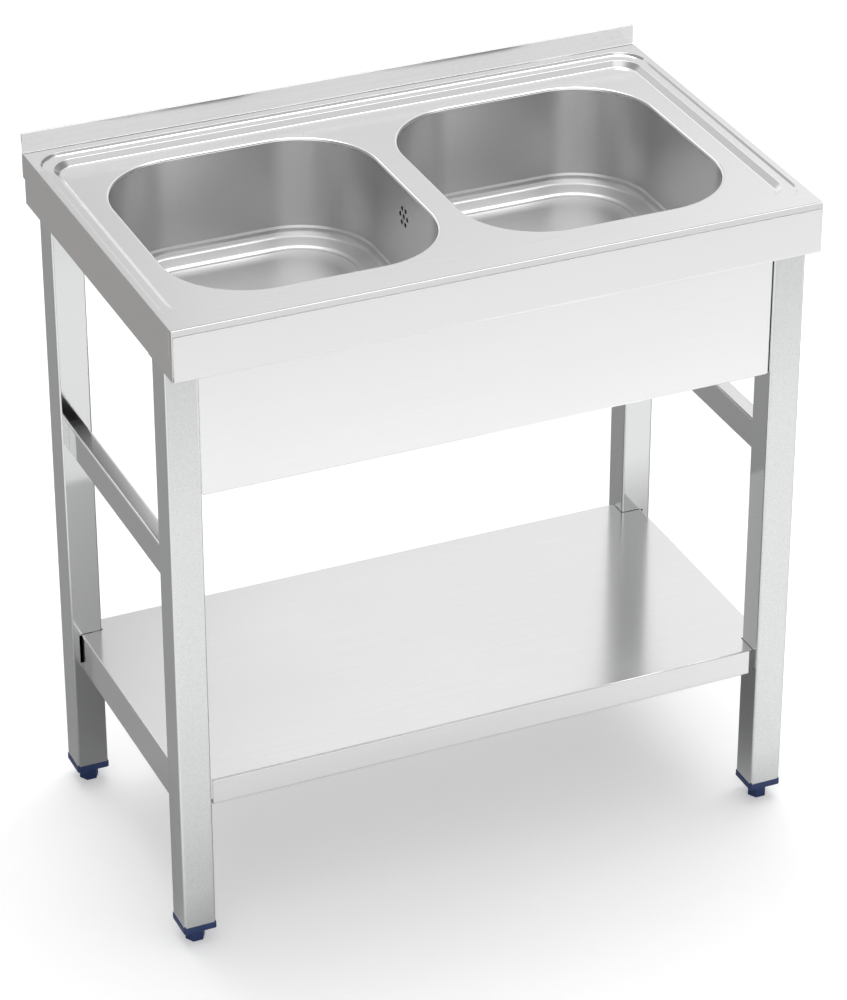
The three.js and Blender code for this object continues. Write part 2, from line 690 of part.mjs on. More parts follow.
// Cover, seal and spout, built on the bowl's wall: x is outwards from the wall.
function overflowSeal() {
  const half = OVERFLOW_COVER_SIZE / 2;
  const shape = roundedShape(-half, half, -half, half, OVERFLOW_COVER_CORNER);
  const opening = half - OVERFLOW_SEAL_WIDTH;
  const corner = OVERFLOW_COVER_CORNER / 2;
  shape.holes.push(roundedShape(-opening, opening, -opening, opening, corner, THREE.Path));
  return standOnWall(extruded(shape, OVERFLOW_SEAL));
}

function overflowCover() {
  const half = OVERFLOW_COVER_SIZE / 2;
  const outline = roundedShape(-half, half, -half, half, OVERFLOW_COVER_CORNER);
  const inner = half - OVERFLOW_COVER_WALL;
  const corner = OVERFLOW_COVER_CORNER - OVERFLOW_COVER_WALL;
  const hollow = roundedShape(-inner, inner, -inner, inner, corner);
  const depth = OVERFLOW_COVER_DEPTH - OVERFLOW_COVER_WALL;
  const cavity = extruded(hollow, depth + CUT_MARGIN).translate(0, 0, -CUT_MARGIN);
  return standOnWall(cut(extruded(outline, OVERFLOW_COVER_DEPTH), cavity));
}

// Turns a piece drawn on the wall's plane so that its height becomes x and its drawing y and z.
function standOnWall(geometry) {
  const basis = new THREE.Matrix4().makeBasis(
    new THREE.Vector3(0, 1, 0),
    new THREE.Vector3(0, 0, 1),
    new THREE.Vector3(1, 0, 0),
  );
  return geometry.applyMatrix4(basis);
}

const pipeX = SHEET + SEAM + OVERFLOW_SEAL + SEAM + OVERFLOW_COVER_DEPTH / 2;
const spoutTop = -OVERFLOW_COVER_SIZE / 2 + OVERFLOW_COVER_WALL / 2;
const spoutBottom = -OVERFLOW_COVER_SIZE / 2 - SPOUT_LENGTH;
const spoutRadius = OVERFLOW_COVER_DEPTH / 2;

function coverWithSpout() {
  const cover = overflowCover();
  const boreRadius = spoutRadius - OVERFLOW_COVER_WALL;
  const spout = bar(spoutRadius, spoutBottom, spoutTop, SMALL_ROUND_STEPS);
  const bore = bar(boreRadius, spoutBottom - CUT_MARGIN, spoutTop + CUT_MARGIN, SMALL_ROUND_STEPS);
  spout.translate(spoutRadius, 0, 0);
  bore.translate(spoutRadius, 0, 0);
  return cut(join(cover, spout), bore);
}

const wallX = leftOutline.x1 - overflowInset;
const sealGeometry = overflowSeal().translate(SHEET + SEAM, 0, 0);
const coverGeometry = coverWithSpout().translate(SHEET + SEAM + OVERFLOW_SEAL + SEAM, 0, 0);
for (const geometry of [sealGeometry, coverGeometry]) {
  geometry.rotateY(wallAngle).translate(wallX, overflowY, overflowZ);
}

// The pipe drops from the spout between the bowls and turns in under the bowl to the waste.
const wasteX = (-BOWL_SPACING) / 2;
const stubZ = WASTE_SEAT - SHEET - (WASTE_THREAD_LENGTH + WASTE_CUP_DEPTH) / 2;
const stubEnd = wasteX + WASTE_CUP_RADIUS + WASTE_STUB_LENGTH;

function overflowPipe() {
  const lean = Math.sin(wallAngle);
  const topZ = overflowZ + spoutBottom * Math.cos(wallAngle) - OVERFLOW_PIPE_GAP;
  const x = wallX + pipeX + spoutBottom * lean;
  const route = new THREE.CurvePath();
  const top = new THREE.Vector3(x, overflowY, topZ);
  const bendStart = new THREE.Vector3(x, overflowY, stubZ + OVERFLOW_PIPE_BEND);
  const bendCorner = new THREE.Vector3(x, overflowY, stubZ);
  const bendEnd = new THREE.Vector3(x - OVERFLOW_PIPE_BEND, overflowY, stubZ);
  const end = new THREE.Vector3(stubEnd + SEAM, overflowY, stubZ);
  route.add(new THREE.LineCurve3(top, bendStart));
  route.add(new THREE.QuadraticBezierCurve3(bendStart, bendCorner, bendEnd));
  route.add(new THREE.LineCurve3(bendEnd, end));
  const bore = OVERFLOW_PIPE_RADIUS - OVERFLOW_PIPE_WALL;
  const shape = new THREE.Shape().absarc(0, 0, OVERFLOW_PIPE_RADIUS, 0, 2 * Math.PI);
  shape.holes.push(new THREE.Path().absarc(0, 0, bore, 0, 2 * Math.PI));
  const options = { steps: PIPE_STEPS, curveSegments: PIPE_SIDES / 2, bevelEnabled: false };
  return new THREE.ExtrudeGeometry(shape, { ...options, extrudePath: route });
}

const pipeGeometry = outward(overflowPipe());
for (const [side, word] of [[-1, 'left'], [1, 'right']]) {
  place(`overflow_seal_${word}`, forSide(side, sealGeometry), plastic(BLACK));
  place(`overflow_cover_${word}`, forSide(side, coverGeometry), plastic(GREY));
  place(`overflow_pipe_${word}`, forSide(side, pipeGeometry), plastic(GREY));
}

// ---------------------------------------------------------------- wastes

// All turned about the waste's axis, with z = 0 at the seat in the bowl's recess.
function wasteBody() {
  const neck = WASTE_HOLE_RADIUS - SEAM;
  const below = -SHEET;
  const cupTop = below - WASTE_THREAD_LENGTH;
  const cupBottom = below - WASTE_CUP_DEPTH;
  const tailBottom = cupBottom - WASTE_TAIL_LENGTH;
  const flange = WASTE_RECESS_DEPTH - SEAM;
  const profile = [
    [WASTE_FLANGE_RADIUS, SEAM],
    [neck, SEAM],
    [neck, cupTop],
    [WASTE_CUP_RADIUS, cupTop - WASTE_CUP_TAPER],
    [WASTE_CUP_RADIUS, cupBottom],
    [WASTE_TAIL_RADIUS, cupBottom - WASTE_TAIL_TAPER],
    [WASTE_TAIL_RADIUS, tailBottom],
    [WASTE_TAIL_RADIUS - WASTE_WALL, tailBottom],
    [WASTE_TAIL_RADIUS - WASTE_WALL, cupBottom - WASTE_TAIL_TAPER + WASTE_WALL],
    [WASTE_CUP_RADIUS - WASTE_WALL, cupBottom + WASTE_WALL],
    [WASTE_CUP_RADIUS - WASTE_WALL, cupTop + 1 - WASTE_CUP_TAPER],
    [neck - WASTE_WALL, cupTop + 1],
    [neck - WASTE_WALL, SEAM],
    [neck, flange],
    [WASTE_FLANGE_RADIUS - WASTE_FLANGE_CHAMFER, flange],
  ];
  const body = turned(profile);
  const root = WASTE_CUP_RADIUS - WASTE_WALL + SEAM;
  const end = WASTE_CUP_RADIUS + WASTE_STUB_LENGTH;
  const sideways = (radius, from, to) => {
    const stub = bar(radius, from, to, PIPE_SIDES).rotateY(Math.PI / 2);
    return stub.translate(0, OVERFLOW_OFFSET, stubZ - WASTE_SEAT);
  };
  const stub = sideways(OVERFLOW_PIPE_RADIUS, root, end);
  const boreRadius = OVERFLOW_PIPE_RADIUS - OVERFLOW_PIPE_WALL;
  const bore = sideways(boreRadius, root - CUT_MARGIN, end + CUT_MARGIN);
  return cut(join(body, stub), bore);
}

function wasteWasher() {
  const top = -SHEET - SEAM;
  const bottom = top - WASHER_THICKNESS;
  const inner = WASTE_HOLE_RADIUS + SEAM;
  const outer = BACK_NUT_RADIUS + 1;
  return turned([[inner, top], [outer, top], [outer, bottom], [inner, bottom]]);
}

function backNut() {
  const top = -SHEET - WASHER_THICKNESS - 2 * SEAM;
  const bottom = top - BACK_NUT_HEIGHT;
  const inner = WASTE_HOLE_RADIUS;
  const collar = BACK_NUT_RADIUS - BACK_NUT_STEP;
  const nut = turned([
    [inner, top],
    [BACK_NUT_RADIUS, top],
    [BACK_NUT_RADIUS, top - BACK_NUT_PLATE],
    [collar, top - BACK_NUT_PLATE],
    [collar, bottom],
    [inner, bottom],
  ]);
  const half = BACK_NUT_LUG / 2;
  const lugs = Array.from({ length: 6 }, (_, k) => {
    const lug = box(collar - OVERLAP, BACK_NUT_RADIUS - SEAM, -half, half, bottom, top - OVERLAP);
    return lug.rotateZ((k * Math.PI) / 3);
  });
  return join(nut, ...lugs);
}

// A perforated basket with a rim that rests on the waste's mouth and a knob to lift it by.
function strainer() {
  const neck = WASTE_HOLE_RADIUS - SEAM;
  const radius = WASTE_CUP_RADIUS - WASTE_WALL - STRAINER_CLEARANCE;
  const rimRadius = neck - WASTE_WALL - STRAINER_CLEARANCE;
  const rimZ = WASTE_RECESS_DEPTH - SEAM - STRAINER_RIM_SINK;
  const floor = rimZ - STRAINER_DEPTH;
  const knobTop = rimZ - STRAINER_KNOB_DROP;
  const lip = rimRadius - STRAINER_RIM;
  const foot = radius - STRAINER_FLOOR_INSET;
  const basket = turned([
    [0, floor],
    [foot, floor],
    [lip + STRAINER_WALL, rimZ - 2 * STRAINER_WALL],
    [rimRadius, rimZ - STRAINER_WALL],
    [rimRadius, rimZ],
    [lip, rimZ],
    [foot - STRAINER_WALL, floor + STRAINER_WALL],
    [STRAINER_STEM_RADIUS, floor + STRAINER_WALL],
    [STRAINER_STEM_RADIUS, knobTop - STRAINER_KNOB_HEIGHT - 1],
    [STRAINER_KNOB_RADIUS, knobTop - STRAINER_KNOB_HEIGHT],
    [STRAINER_KNOB_RADIUS, knobTop],
    [0, knobTop],
  ]);
  const holes = Array.from({ length: 12 }, (_, k) => {
    const reach = (k % 2 ? 0.8 : 0.5) * foot;
    const angle = (k * Math.PI) / 6;
    return bar(STRAINER_HOLE_RADIUS, floor - CUT_MARGIN, floor + 2 * STRAINER_WALL, 6)
      .translate(reach * Math.cos(angle), reach * Math.sin(angle), 0);
  });
  return cut(basket, ...holes);
}

const wasteBodyGeometry = wasteBody();
const washerGeometry = wasteWasher();
const backNutGeometry = backNut();
const strainerGeometry = strainer();
for (const [side, word] of [[-1, 'left'], [1, 'right']]) {
  const at = [(side * BOWL_SPACING) / 2, BOWL_MIDDLE_Y, WASTE_SEAT];
  place(`waste_body_${word}`, forSide(side, wasteBodyGeometry), steel(0.2), at);
  place(`waste_washer_${word}`, washerGeometry, plastic(BLACK), at);
  place(`waste_back_nut_${word}`, backNutGeometry, plastic(GREY), at);
  place(`strainer_${word}`, strainerGeometry, steel(0.2), at);
}

// ---------------------------------------------------------------- aprons

function frontApron() {
  const line = [
    [FRONT + APRON_RETURN, APRON_BOTTOM],
    [FRONT, APRON_BOTTOM],
    [FRONT, RIM_HEIGHT - APRON_REVEAL],
  ].reverse();
  const apron = foldAlongX(foldedSection(line), -WIDTH / 2, WIDTH / 2);
  const reach = SHEET + SEAM;
  const ends = [-1, 1].map((side) => {
    const outer = (side * (WIDTH + CUT_MARGIN)) / 2;
    const inner = (side * WIDTH) / 2 - side * reach;
    const [x0, x1] = side < 0 ? [outer, inner] : [inner, outer];
    const back = FRONT + 2 * APRON_RETURN;
    return box(x0, x1, EDGE_FRONT - SEAM / 2, back, APRON_BOTTOM - 1, APRON_BOTTOM + 2 * BEND);
  });
  return cut(apron, ...ends);
}

// The left apron: a plate with a notch for the top's corner tab, a cut-back lower back corner,
// and a bottom flange between the legs.
function sideApron() {
  const x = -WIDTH / 2;
  const top = RIM_HEIGHT - SHEET - SEAM;
  const notchBottom = RIM_HEIGHT - FRONT_DOWNTURN - SEAM;
  const notchBack = EDGE_FRONT + CORNER_TAB + SEAM;
  const shape = new THREE.Shape([
    [EDGE_FRONT, APRON_BOTTOM],
    [BACK - APRON_BACK_CUT, APRON_BOTTOM],
    [BACK - APRON_BACK_CUT, APRON_BOTTOM + APRON_BACK_CUT_HEIGHT],
    [BACK, APRON_BOTTOM + APRON_BACK_CUT_HEIGHT],
    [BACK, top],
    [notchBack, top],
    [notchBack, notchBottom],
    [EDGE_FRONT, notchBottom],
  ].map(([y, z]) => new THREE.Vector2(y, z)));
  const plate = standOnWall(extruded(shape, SHEET)).translate(x, 0, 0);
  const line = [
    [x, APRON_BOTTOM + BEND + OVERLAP],
    [x, APRON_BOTTOM],
    [x + APRON_RETURN, APRON_BOTTOM],
  ];
  const section = foldedSection(line);
  const flange = foldAlongY(section, LEG_GAP_FRONT + APRON_FLANGE_GAP, LEG_GAP_BACK - APRON_FLANGE_GAP);
  return join(plate, flange);
}

place('front_apron', frontApron(), steel());
const sideApronGeometry = sideApron();
place('side_apron_left', sideApronGeometry, steel());
place('side_apron_right', mirrored(sideApronGeometry), steel());

// ---------------------------------------------------------------- frame

// Screws that hold the front panel, as [y, z] on a leg's inner face.
const panelScrews = [-1, 1].map((k) => {
  const y = FRONT_LEG_FACE + PANEL_SETBACK + PANEL_FLANGE - PANEL_SCREW_INSET;
  return [y, (PANEL_BOTTOM + LEG_TOP + k * PANEL_SCREW_SPACING) / 2];
});

// A left-hand leg. The opening for the shelf bearer faces the other leg of its side.
function leg(legY, facing, screws) {
  const height = LEG_TOP - LEG_BOTTOM;
  const x = -LEG_X;
  const body = tube(LEG, LEG, height).translate(x, legY, LEG_BOTTOM);
  const face = legY + (facing * LEG) / 2;
  const opening = box(
    x - RAIL_WIDTH / 2,
    x + RAIL_WIDTH / 2,
    face - 2 * LEG_WALL,
    face + 2 * LEG_WALL,
    BEARER_OPENING_BOTTOM,
    BEARER_OPENING_BOTTOM + RAIL_HEIGHT,
  );
  const holes = screws.map(([y, z]) =>
    bar(SCREW_RADIUS + SCREW_CLEARANCE, -CUT_MARGIN, CUT_MARGIN, HOLE_STEPS)
      .rotateY(Math.PI / 2)
      .translate(-LEG_INNER, y, z));
  return cut(body, opening, ...holes);
}

const frontLegGeometry = leg(FRONT_LEG_Y, 1, panelScrews);
const rearLegGeometry = leg(REAR_LEG_Y, -1, []);

// A steel gusset welded in the inner corner of a leg's top, with a hole for the top's stud.
function gusset(legY) {
  const x0 = -LEG_INNER + SEAM;
  const x1 = x0 + GUSSET;
  const bottom = GUSSET_TOP - GUSSET_THICKNESS;
  const radius = TOP_STUD_RADIUS + SCREW_CLEARANCE;
  const hole = bar(radius, bottom - CUT_MARGIN, GUSSET_TOP + CUT_MARGIN, SMALL_ROUND_STEPS);
  hole.translate((x0 + x1) / 2, legY, 0);
  return cut(box(x0, x1, legY - LEG / 2, legY + LEG / 2, bottom, GUSSET_TOP), hole);
}

// A stud welded under the deck, with the nut that holds the top down on a gusset.
function topStud(legY) {
  const x = -LEG_INNER + SEAM + GUSSET / 2;
  const top = DECK_UNDERSIDE - SEAM;
  const nutTop = GUSSET_TOP - GUSSET_THICKNESS - SEAM;
  return join(
    bar(TOP_STUD_RADIUS, top - TOP_STUD_LENGTH, top, SMALL_ROUND_STEPS),
    bar(TOP_NUT_RADIUS, nutTop - TOP_NUT_HEIGHT, nutTop, 6),
  ).translate(x, legY, 0);
}

const railBottom = RAIL_TOP - RAIL_HEIGHT;
function sideRail() {
  const length = LEG_GAP_BACK - LEG_GAP_FRONT - 2 * SEAM;
  return tube(RAIL_WIDTH, RAIL_HEIGHT, length)
    .rotateX(Math.PI / 2)
    .translate(-LEG_X, LEG_GAP_BACK - SEAM, (RAIL_TOP + railBottom) / 2);
}

// A bearer for the shelf, its ends set into the openings in the legs.
function shelfBearer() {
  const y0 = LEG_GAP_FRONT - BEARER_INSERTION;
  const y1 = LEG_GAP_BACK + BEARER_INSERTION;
  const z = BEARER_OPENING_BOTTOM + SEAM + BEARER_HEIGHT / 2;
  return tube(BEARER_WIDTH, BEARER_HEIGHT, y1 - y0, LEG_WALL, BEARER_CORNER)
    .rotateX(Math.PI / 2)
    .translate(-BEARER_X, y1, z);
}

for (const [side, word] of [[-1, 'left'], [1, 'right']]) {
  place(`leg_front_${word}`, forSide(side, frontLegGeometry), steel());
  place(`leg_rear_${word}`, forSide(side, rearLegGeometry), steel());
  place(`gusset_front_${word}`, forSide(side, gusset(FRONT_LEG_Y)), steel());
  place(`gusset_rear_${word}`, forSide(side, gusset(REAR_LEG_Y)), steel());
  place(`side_rail_${word}`, forSide(side, sideRail()), steel());
  place(`shelf_bearer_${word}`, forSide(side, shelfBearer()), steel());
  place(`top_stud_front_${word}`, forSide(side, topStud(FRONT_LEG_Y)), steel());
  place(`top_stud_rear_${word}`, forSide(side, topStud(REAR_LEG_Y)), steel());
}

// The front panel: a sheet between the front legs, folded back along them and along its bottom.
function frontPanel() {
  const x = LEG_INNER - PANEL_SIDE_GAP;
  const face = FRONT_LEG_FACE + PANEL_SETBACK;
  const top = GUSSET_TOP - GUSSET_THICKNESS - SEAM;
  const plan = [
    [x, face + PANEL_FLANGE],
    [x, face],
    [-x, face],
    [-x, face + PANEL_FLANGE],
  ].reverse();
  const wall = foldAlongZ(foldedSection(plan), PANEL_BOTTOM, top);
  const line = [
    [face, PANEL_BOTTOM + BEND + OVERLAP],
    [face, PANEL_BOTTOM],
    [face + PANEL_BOTTOM_FLANGE, PANEL_BOTTOM],
  ];
  const bottom = foldAlongX(foldedSection(line), -x + BEND, x - BEND);
  const hole = (side, y, z) =>
    bar(SCREW_RADIUS + SCREW_CLEARANCE, -CUT_MARGIN, CUT_MARGIN, HOLE_STEPS)
      .rotateY(Math.PI / 2)
      .translate(side * x, y, z);
  const holes = panelScrews.flatMap(([y, z]) => [hole(-1, y, z), hole(1, y, z)]);
  return cut(join(wall, bottom), ...holes);
}

// A pan-head screw through the panel's left flange into the leg.
function panelScrew([y, z]) {
  const headFace = LEG_INNER - PANEL_SIDE_GAP - SHEET - SEAM;
  return join(
    bar(SCREW_HEAD_RADIUS, 0, SCREW_HEAD_HEIGHT, SMALL_ROUND_STEPS),
    bar(SCREW_RADIUS, -SCREW_LENGTH, OVERLAP, HOLE_STEPS),
  ).rotateY(Math.PI / 2).translate(-headFace, y, z);
}

place('front_panel', frontPanel(), steel());
for (const [side, word] of [[-1, 'left'], [1, 'right']]) {
  place(`panel_screw_lower_${word}`, forSide(side, panelScrew(panelScrews[0])), steel());
  place(`panel_screw_upper_${word}`, forSide(side, panelScrew(panelScrews[1])), steel());
}

// A folded channel between the rear legs, behind the bowls.
function rearCrossbar() {
  const y1 = REAR_LEG_BACK;
  const y0 = y1 - CROSSBAR_DEPTH;
  const line = [
    [y1, CROSSBAR_TOP],
    [y0, CROSSBAR_TOP],
    [y0, CROSSBAR_TOP - CROSSBAR_HEIGHT],
    [y1, CROSSBAR_TOP - CROSSBAR_HEIGHT],
  ];
  return foldAlongX(foldedSection(line), -LEG_INNER + SEAM, LEG_INNER - SEAM);
}

place('rear_crossbar', rearCrossbar(), steel());

// ---------------------------------------------------------------- shelf

const shelfFront = FRONT_LEG_FACE + SHELF_FRONT_SETBACK;
const shelfBack = REAR_LEG_BACK - SHELF_BACK_SETBACK;

// The shelf's flat: a sheet with its four corners notched round the legs.
function shelfFlat() {
  const side = SHELF_SIDE_X - BEND;
  const inner = LEG_INNER - SHELF_NOTCH_GAP;
  const y0 = shelfFront + BEND;
  const y1 = shelfBack - BEND;
  const n0 = LEG_GAP_FRONT + SHELF_NOTCH_GAP;
  const n1 = LEG_GAP_BACK - SHELF_NOTCH_GAP;
  const half = [[inner, y0], [inner, n0], [side, n0], [side, n1], [inner, n1], [inner, y1]];
  const other = half.map(([x, y]) => [-x, y]).reverse();
  const shape = new THREE.Shape([...half, ...other].map(([x, y]) => new THREE.Vector2(x, y)));
  return extruded(shape, SHEET).translate(0, 0, SHELF_UNDERSIDE);
}

function shelf() {
  const end = LEG_INNER - SHELF_END_GAP;
  const bottom = SHELF_TOP - SHELF_FRONT_HEIGHT;
  const front = [
    [shelfFront + BEND + OVERLAP, SHELF_TOP],
    [shelfFront, SHELF_TOP],
    [shelfFront, bottom],
    [shelfFront + SHELF_RETURN, bottom],
  ];
  const mirrorY = shelfFront + shelfBack;
  const back = front.map(([y, z]) => [mirrorY - y, z]).reverse();
  const side = [
    [-SHELF_SIDE_X + BEND + OVERLAP, SHELF_TOP],
    [-SHELF_SIDE_X, SHELF_TOP],
    [-SHELF_SIDE_X, SHELF_TOP - SHELF_SIDE_HEIGHT],
  ];
  const y0 = LEG_GAP_FRONT + SHELF_NOTCH_GAP;
  const y1 = LEG_GAP_BACK - SHELF_NOTCH_GAP;
  const left = foldAlongY(foldedSection(side), y0, y1);
  return join(
    shelfFlat(),
    foldAlongX(foldedSection(front), -end, end),
    foldAlongX(foldedSection(back), -end, end),
    left,
    mirrored(left),
  );
}

// A hat-shaped stiffener welded under the shelf, running from bearer to bearer.
function shelfStiffener() {
  const y = (shelfFront + shelfBack) / 2;
  const top = SHELF_UNDERSIDE - SEAM;
  const half = STIFFENER_WIDTH / 2;
  const web = half - STIFFENER_FLANGE;
  const line = [
    [y - half, top],
    [y - web, top],
    [y - web, top - STIFFENER_HEIGHT],
    [y + web, top - STIFFENER_HEIGHT],
    [y + web, top],
    [y + half, top],
  ].reverse();
  const end = BEARER_X - BEARER_WIDTH / 2 - SEAM;
  return foldAlongX(foldedSection(line), -end, end);
}

place('shelf', shelf(), steel());
place('shelf_stiffener', shelfStiffener(), steel());

// ---------------------------------------------------------------- feet

// Cap: a square plate under the tube with a plug inside it and a bore for the stud.
function legCap() {
  const half = LEG / 2 + CAP_OVERHANG;
  const plate = extruded(roundedShape(-half, half, -half, half, LEG_CORNER), CAP_PLATE)
    .translate(0, 0, CAP_BOTTOM);
  const plugHalf = LEG / 2 - LEG_WALL - SEAM;
  const plugShape = roundedShape(-plugHalf, plugHalf, -plugHalf, plugHalf, CAP_PLUG_CORNER);
  const plug = extruded(plugShape, CAP_PLUG_LENGTH + OVERLAP)
    .translate(0, 0, CAP_BOTTOM + CAP_PLATE - OVERLAP);
  const bore = bar(STUD_RADIUS + STUD_CLEARANCE, 0, LEG_BOTTOM + CAP_PLUG_LENGTH + CUT_MARGIN);
  return cut(join(plate, plug), bore);
}

// The stud stands in the hexagonal foot's socket and screws in the cap's bore.
function footStud() {
  const top = STUD_SEAT + STUD_LENGTH;
  return turned([
    [0, STUD_SEAT],
    [STUD_RADIUS, STUD_SEAT],
    [STUD_RADIUS, top - STUD_CHAMFER],
    [STUD_RADIUS - STUD_CHAMFER, top],
    [0, top],
  ]);
}

function foot() {
  const base = new THREE.CylinderGeometry(FOOT_RADIUS, FOOT_RADIUS - FOOT_CHAMFER, FOOT_CHAMFER, 6)
    .rotateX(Math.PI / 2)
    .translate(0, 0, FOOT_CHAMFER / 2);
  const hexagon = join(base, bar(FOOT_RADIUS, FOOT_CHAMFER, FOOT_HEIGHT, 6)).rotateZ(Math.PI / 6);
  const socket = bar(STUD_RADIUS + STUD_CLEARANCE, STUD_SEAT - SEAM, FOOT_HEIGHT + CUT_MARGIN);
  return cut(hexagon, socket);
}

const capGeometry = legCap();
const studGeometry = footStud();
const footGeometry = foot();
for (const [sideX, wordX] of [[-1, 'left'], [1, 'right']]) {
  for (const [y, wordY] of [[FRONT_LEG_Y, 'front'], [REAR_LEG_Y, 'rear']]) {
    const at = [sideX * LEG_X, y, 0];
    place(`leg_cap_${wordY}_${wordX}`, capGeometry, plastic(NAVY), at);
    place(`foot_stud_${wordY}_${wordX}`, studGeometry, steel(0.4), at);
    place(`foot_${wordY}_${wordX}`, footGeometry, plastic(NAVY), at);
  }
}

export default unit;
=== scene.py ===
# %% [markdown]
# # A stainless steel sink unit, piece by piece
# The unit is a pressed sink top with two bowls on a square-tube frame, with a front panel, a bottom
# shelf and four levelling feet. Its exact model is already packed, so this notebook loads that model
# as a fixed frame and dresses it: the sheets, tubes and mouldings that show are worked out again with
# fine bends, and every surface gets a finish. All sizes are in millimetres until a mesh is made.

# %% Load the frame
import bmesh
import bpy
import numpy as np
from mathutils import Matrix, Vector


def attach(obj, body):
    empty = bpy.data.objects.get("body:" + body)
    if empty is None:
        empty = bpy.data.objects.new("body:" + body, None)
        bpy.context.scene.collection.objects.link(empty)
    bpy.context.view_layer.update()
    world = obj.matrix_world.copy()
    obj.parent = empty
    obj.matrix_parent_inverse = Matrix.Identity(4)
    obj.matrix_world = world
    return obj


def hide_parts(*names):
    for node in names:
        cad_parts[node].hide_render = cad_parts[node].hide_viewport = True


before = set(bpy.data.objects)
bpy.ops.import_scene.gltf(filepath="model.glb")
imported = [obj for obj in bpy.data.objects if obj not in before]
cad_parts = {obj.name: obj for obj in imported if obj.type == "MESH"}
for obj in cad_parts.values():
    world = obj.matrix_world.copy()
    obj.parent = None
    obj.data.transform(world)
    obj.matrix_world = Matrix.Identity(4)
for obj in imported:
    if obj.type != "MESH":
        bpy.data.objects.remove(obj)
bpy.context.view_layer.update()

MM = 0.001


# %% [markdown]
# ## From arrays to meshes
# Every shape here is a grid of points: rows run one way over the surface and columns the other. A
# helper turns such a grid into four-sided faces, so a shape is only ever a formula for its points.
# Sheet metal is drawn as its visible face and then given its thickness by a Solidify modifier,
# which is how sheet really is: one surface with a constant gauge.

# %% Grids of points
def grid(points, close_rows=False, close_columns=False):
    """Points of shape (rows, columns, 3) become faces between neighbouring rows and columns; a closed
    direction joins its last line to its first."""
    points = np.asarray(points, float)
    rows, columns = points.shape[:2]
    number = np.arange(rows * columns).reshape(rows, columns)
    if close_rows:
        number = np.vstack([number, number[:1]])
    if close_columns:
        number = np.hstack([number, number[:, :1]])
    faces = np.stack([number[:-1, :-1], number[:-1, 1:], number[1:, 1:], number[1:, :-1]], axis=-1)
    return points.reshape(-1, 3), faces.reshape(-1, 4).tolist()


def flat_face(points):
    """One many-sided face through the given points, in order."""
    points = np.asarray(points, float)
    return points, [list(range(len(points)))]


def flipped(part):
    """The same part with every face turned over."""
    points, faces = part
    return points, [face[::-1] for face in faces]


def mirrored(part):
    """The part mirrored from left to right; mirroring turns faces inside out, so they are flipped."""
    points, faces = part
    return points * [-1, 1, 1], [face[::-1] for face in faces]


# %% Making a mesh
SAME_POINT = 2e-6
NO_LENGTH = 1e-7


def make_mesh(name, parts):
    """The parts' points go to metres, points that coincide are merged, and shading is smooth."""
    points = np.vstack([part[0] for part in parts]) * MM
    starts = np.cumsum([0] + [len(part[0]) for part in parts[:-1]])
    faces = [[i + start for i in face] for part, start in zip(parts, starts) for face in part[1]]
    mesh = bpy.data.meshes.new(name)
    mesh.from_pydata(points.tolist(), [], faces)
    shape = bmesh.new()
    shape.from_mesh(mesh)
    bmesh.ops.remove_doubles(shape, verts=shape.verts, dist=SAME_POINT)
    bmesh.ops.dissolve_degenerate(shape, edges=shape.edges, dist=NO_LENGTH)
    shape.to_mesh(mesh)
    shape.free()
    mesh.shade_smooth()
    return mesh


def new_object(name, parts):
    """An object at the origin whose place is in its mesh."""
    thing = bpy.data.objects.new(name, make_mesh(name, parts))
    bpy.context.scene.collection.objects.link(thing)
    return thing


# %% [markdown]
# ## Finishing a piece
# Sheet has a gauge, its cut edges are broken by deburring, and a flat face must shade flat even
# though it runs into a bend. Up to three modifiers do that, always in the same order: Solidify gives
# the gauge, Bevel breaks the edges, and Weighted Normal lets the large flats win over the small
# bends where their shading meets.

# %% Modifiers and hand-over to the frame
EDGE_ANGLE = np.radians(38)
FLAT_WEIGHT = 80


def thickened(thing, gauge):
    """Gives a face its gauge: the sheet's thickness lies behind the face."""
    solidify = thing.modifiers.new("gauge", "SOLIDIFY")
    solidify.thickness = gauge * MM
    solidify.offset = -1
    solidify.use_even_offset = True


def finish(thing, material, body, replaced, gauge=0.0, edge=0.0, sharp=None):
    """Gives a piece its finish, gauge and broken edges, rides it on a body and lets it stand for nodes
    of the frame. A piece without broken edges can keep sharp those that turn by more than some degrees."""
    thing.data.materials.clear()
    thing.data.materials.append(material)
    if sharp:
        thing.data.set_sharp_from_angle(angle=np.radians(sharp))
    if gauge:
        thickened(thing, gauge)
    if edge:
        bevel = thing.modifiers.new("broken edges", "BEVEL")
        bevel.width = edge * MM
        bevel.segments = 2
        bevel.limit_method = "ANGLE"
        bevel.angle_limit = EDGE_ANGLE
    weighted = thing.modifiers.new("flat stays flat", "WEIGHTED_NORMAL")
    weighted.keep_sharp = True
    weighted.weight = FLAT_WEIGHT
    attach(thing, body)
    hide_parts(*replaced)
    print(f"{thing.name}: {len(thing.data.polygons)} faces on {body}")


def outwards(thing):
    """Turns the faces of a closed mesh outwards."""
    shape = bmesh.new()
    shape.from_mesh(thing.data)
    bmesh.ops.recalc_face_normals(shape, faces=shape.faces)
    shape.to_mesh(thing.data)
    shape.free()
    return thing


# %% [markdown]
# ## Lines with bends
# A press brake never makes a sharp corner: each fold has a small radius. One function draws every
# folded section and every tube in this unit: it takes the corners of a line and replaces each with
# an arc that touches both of its sides.

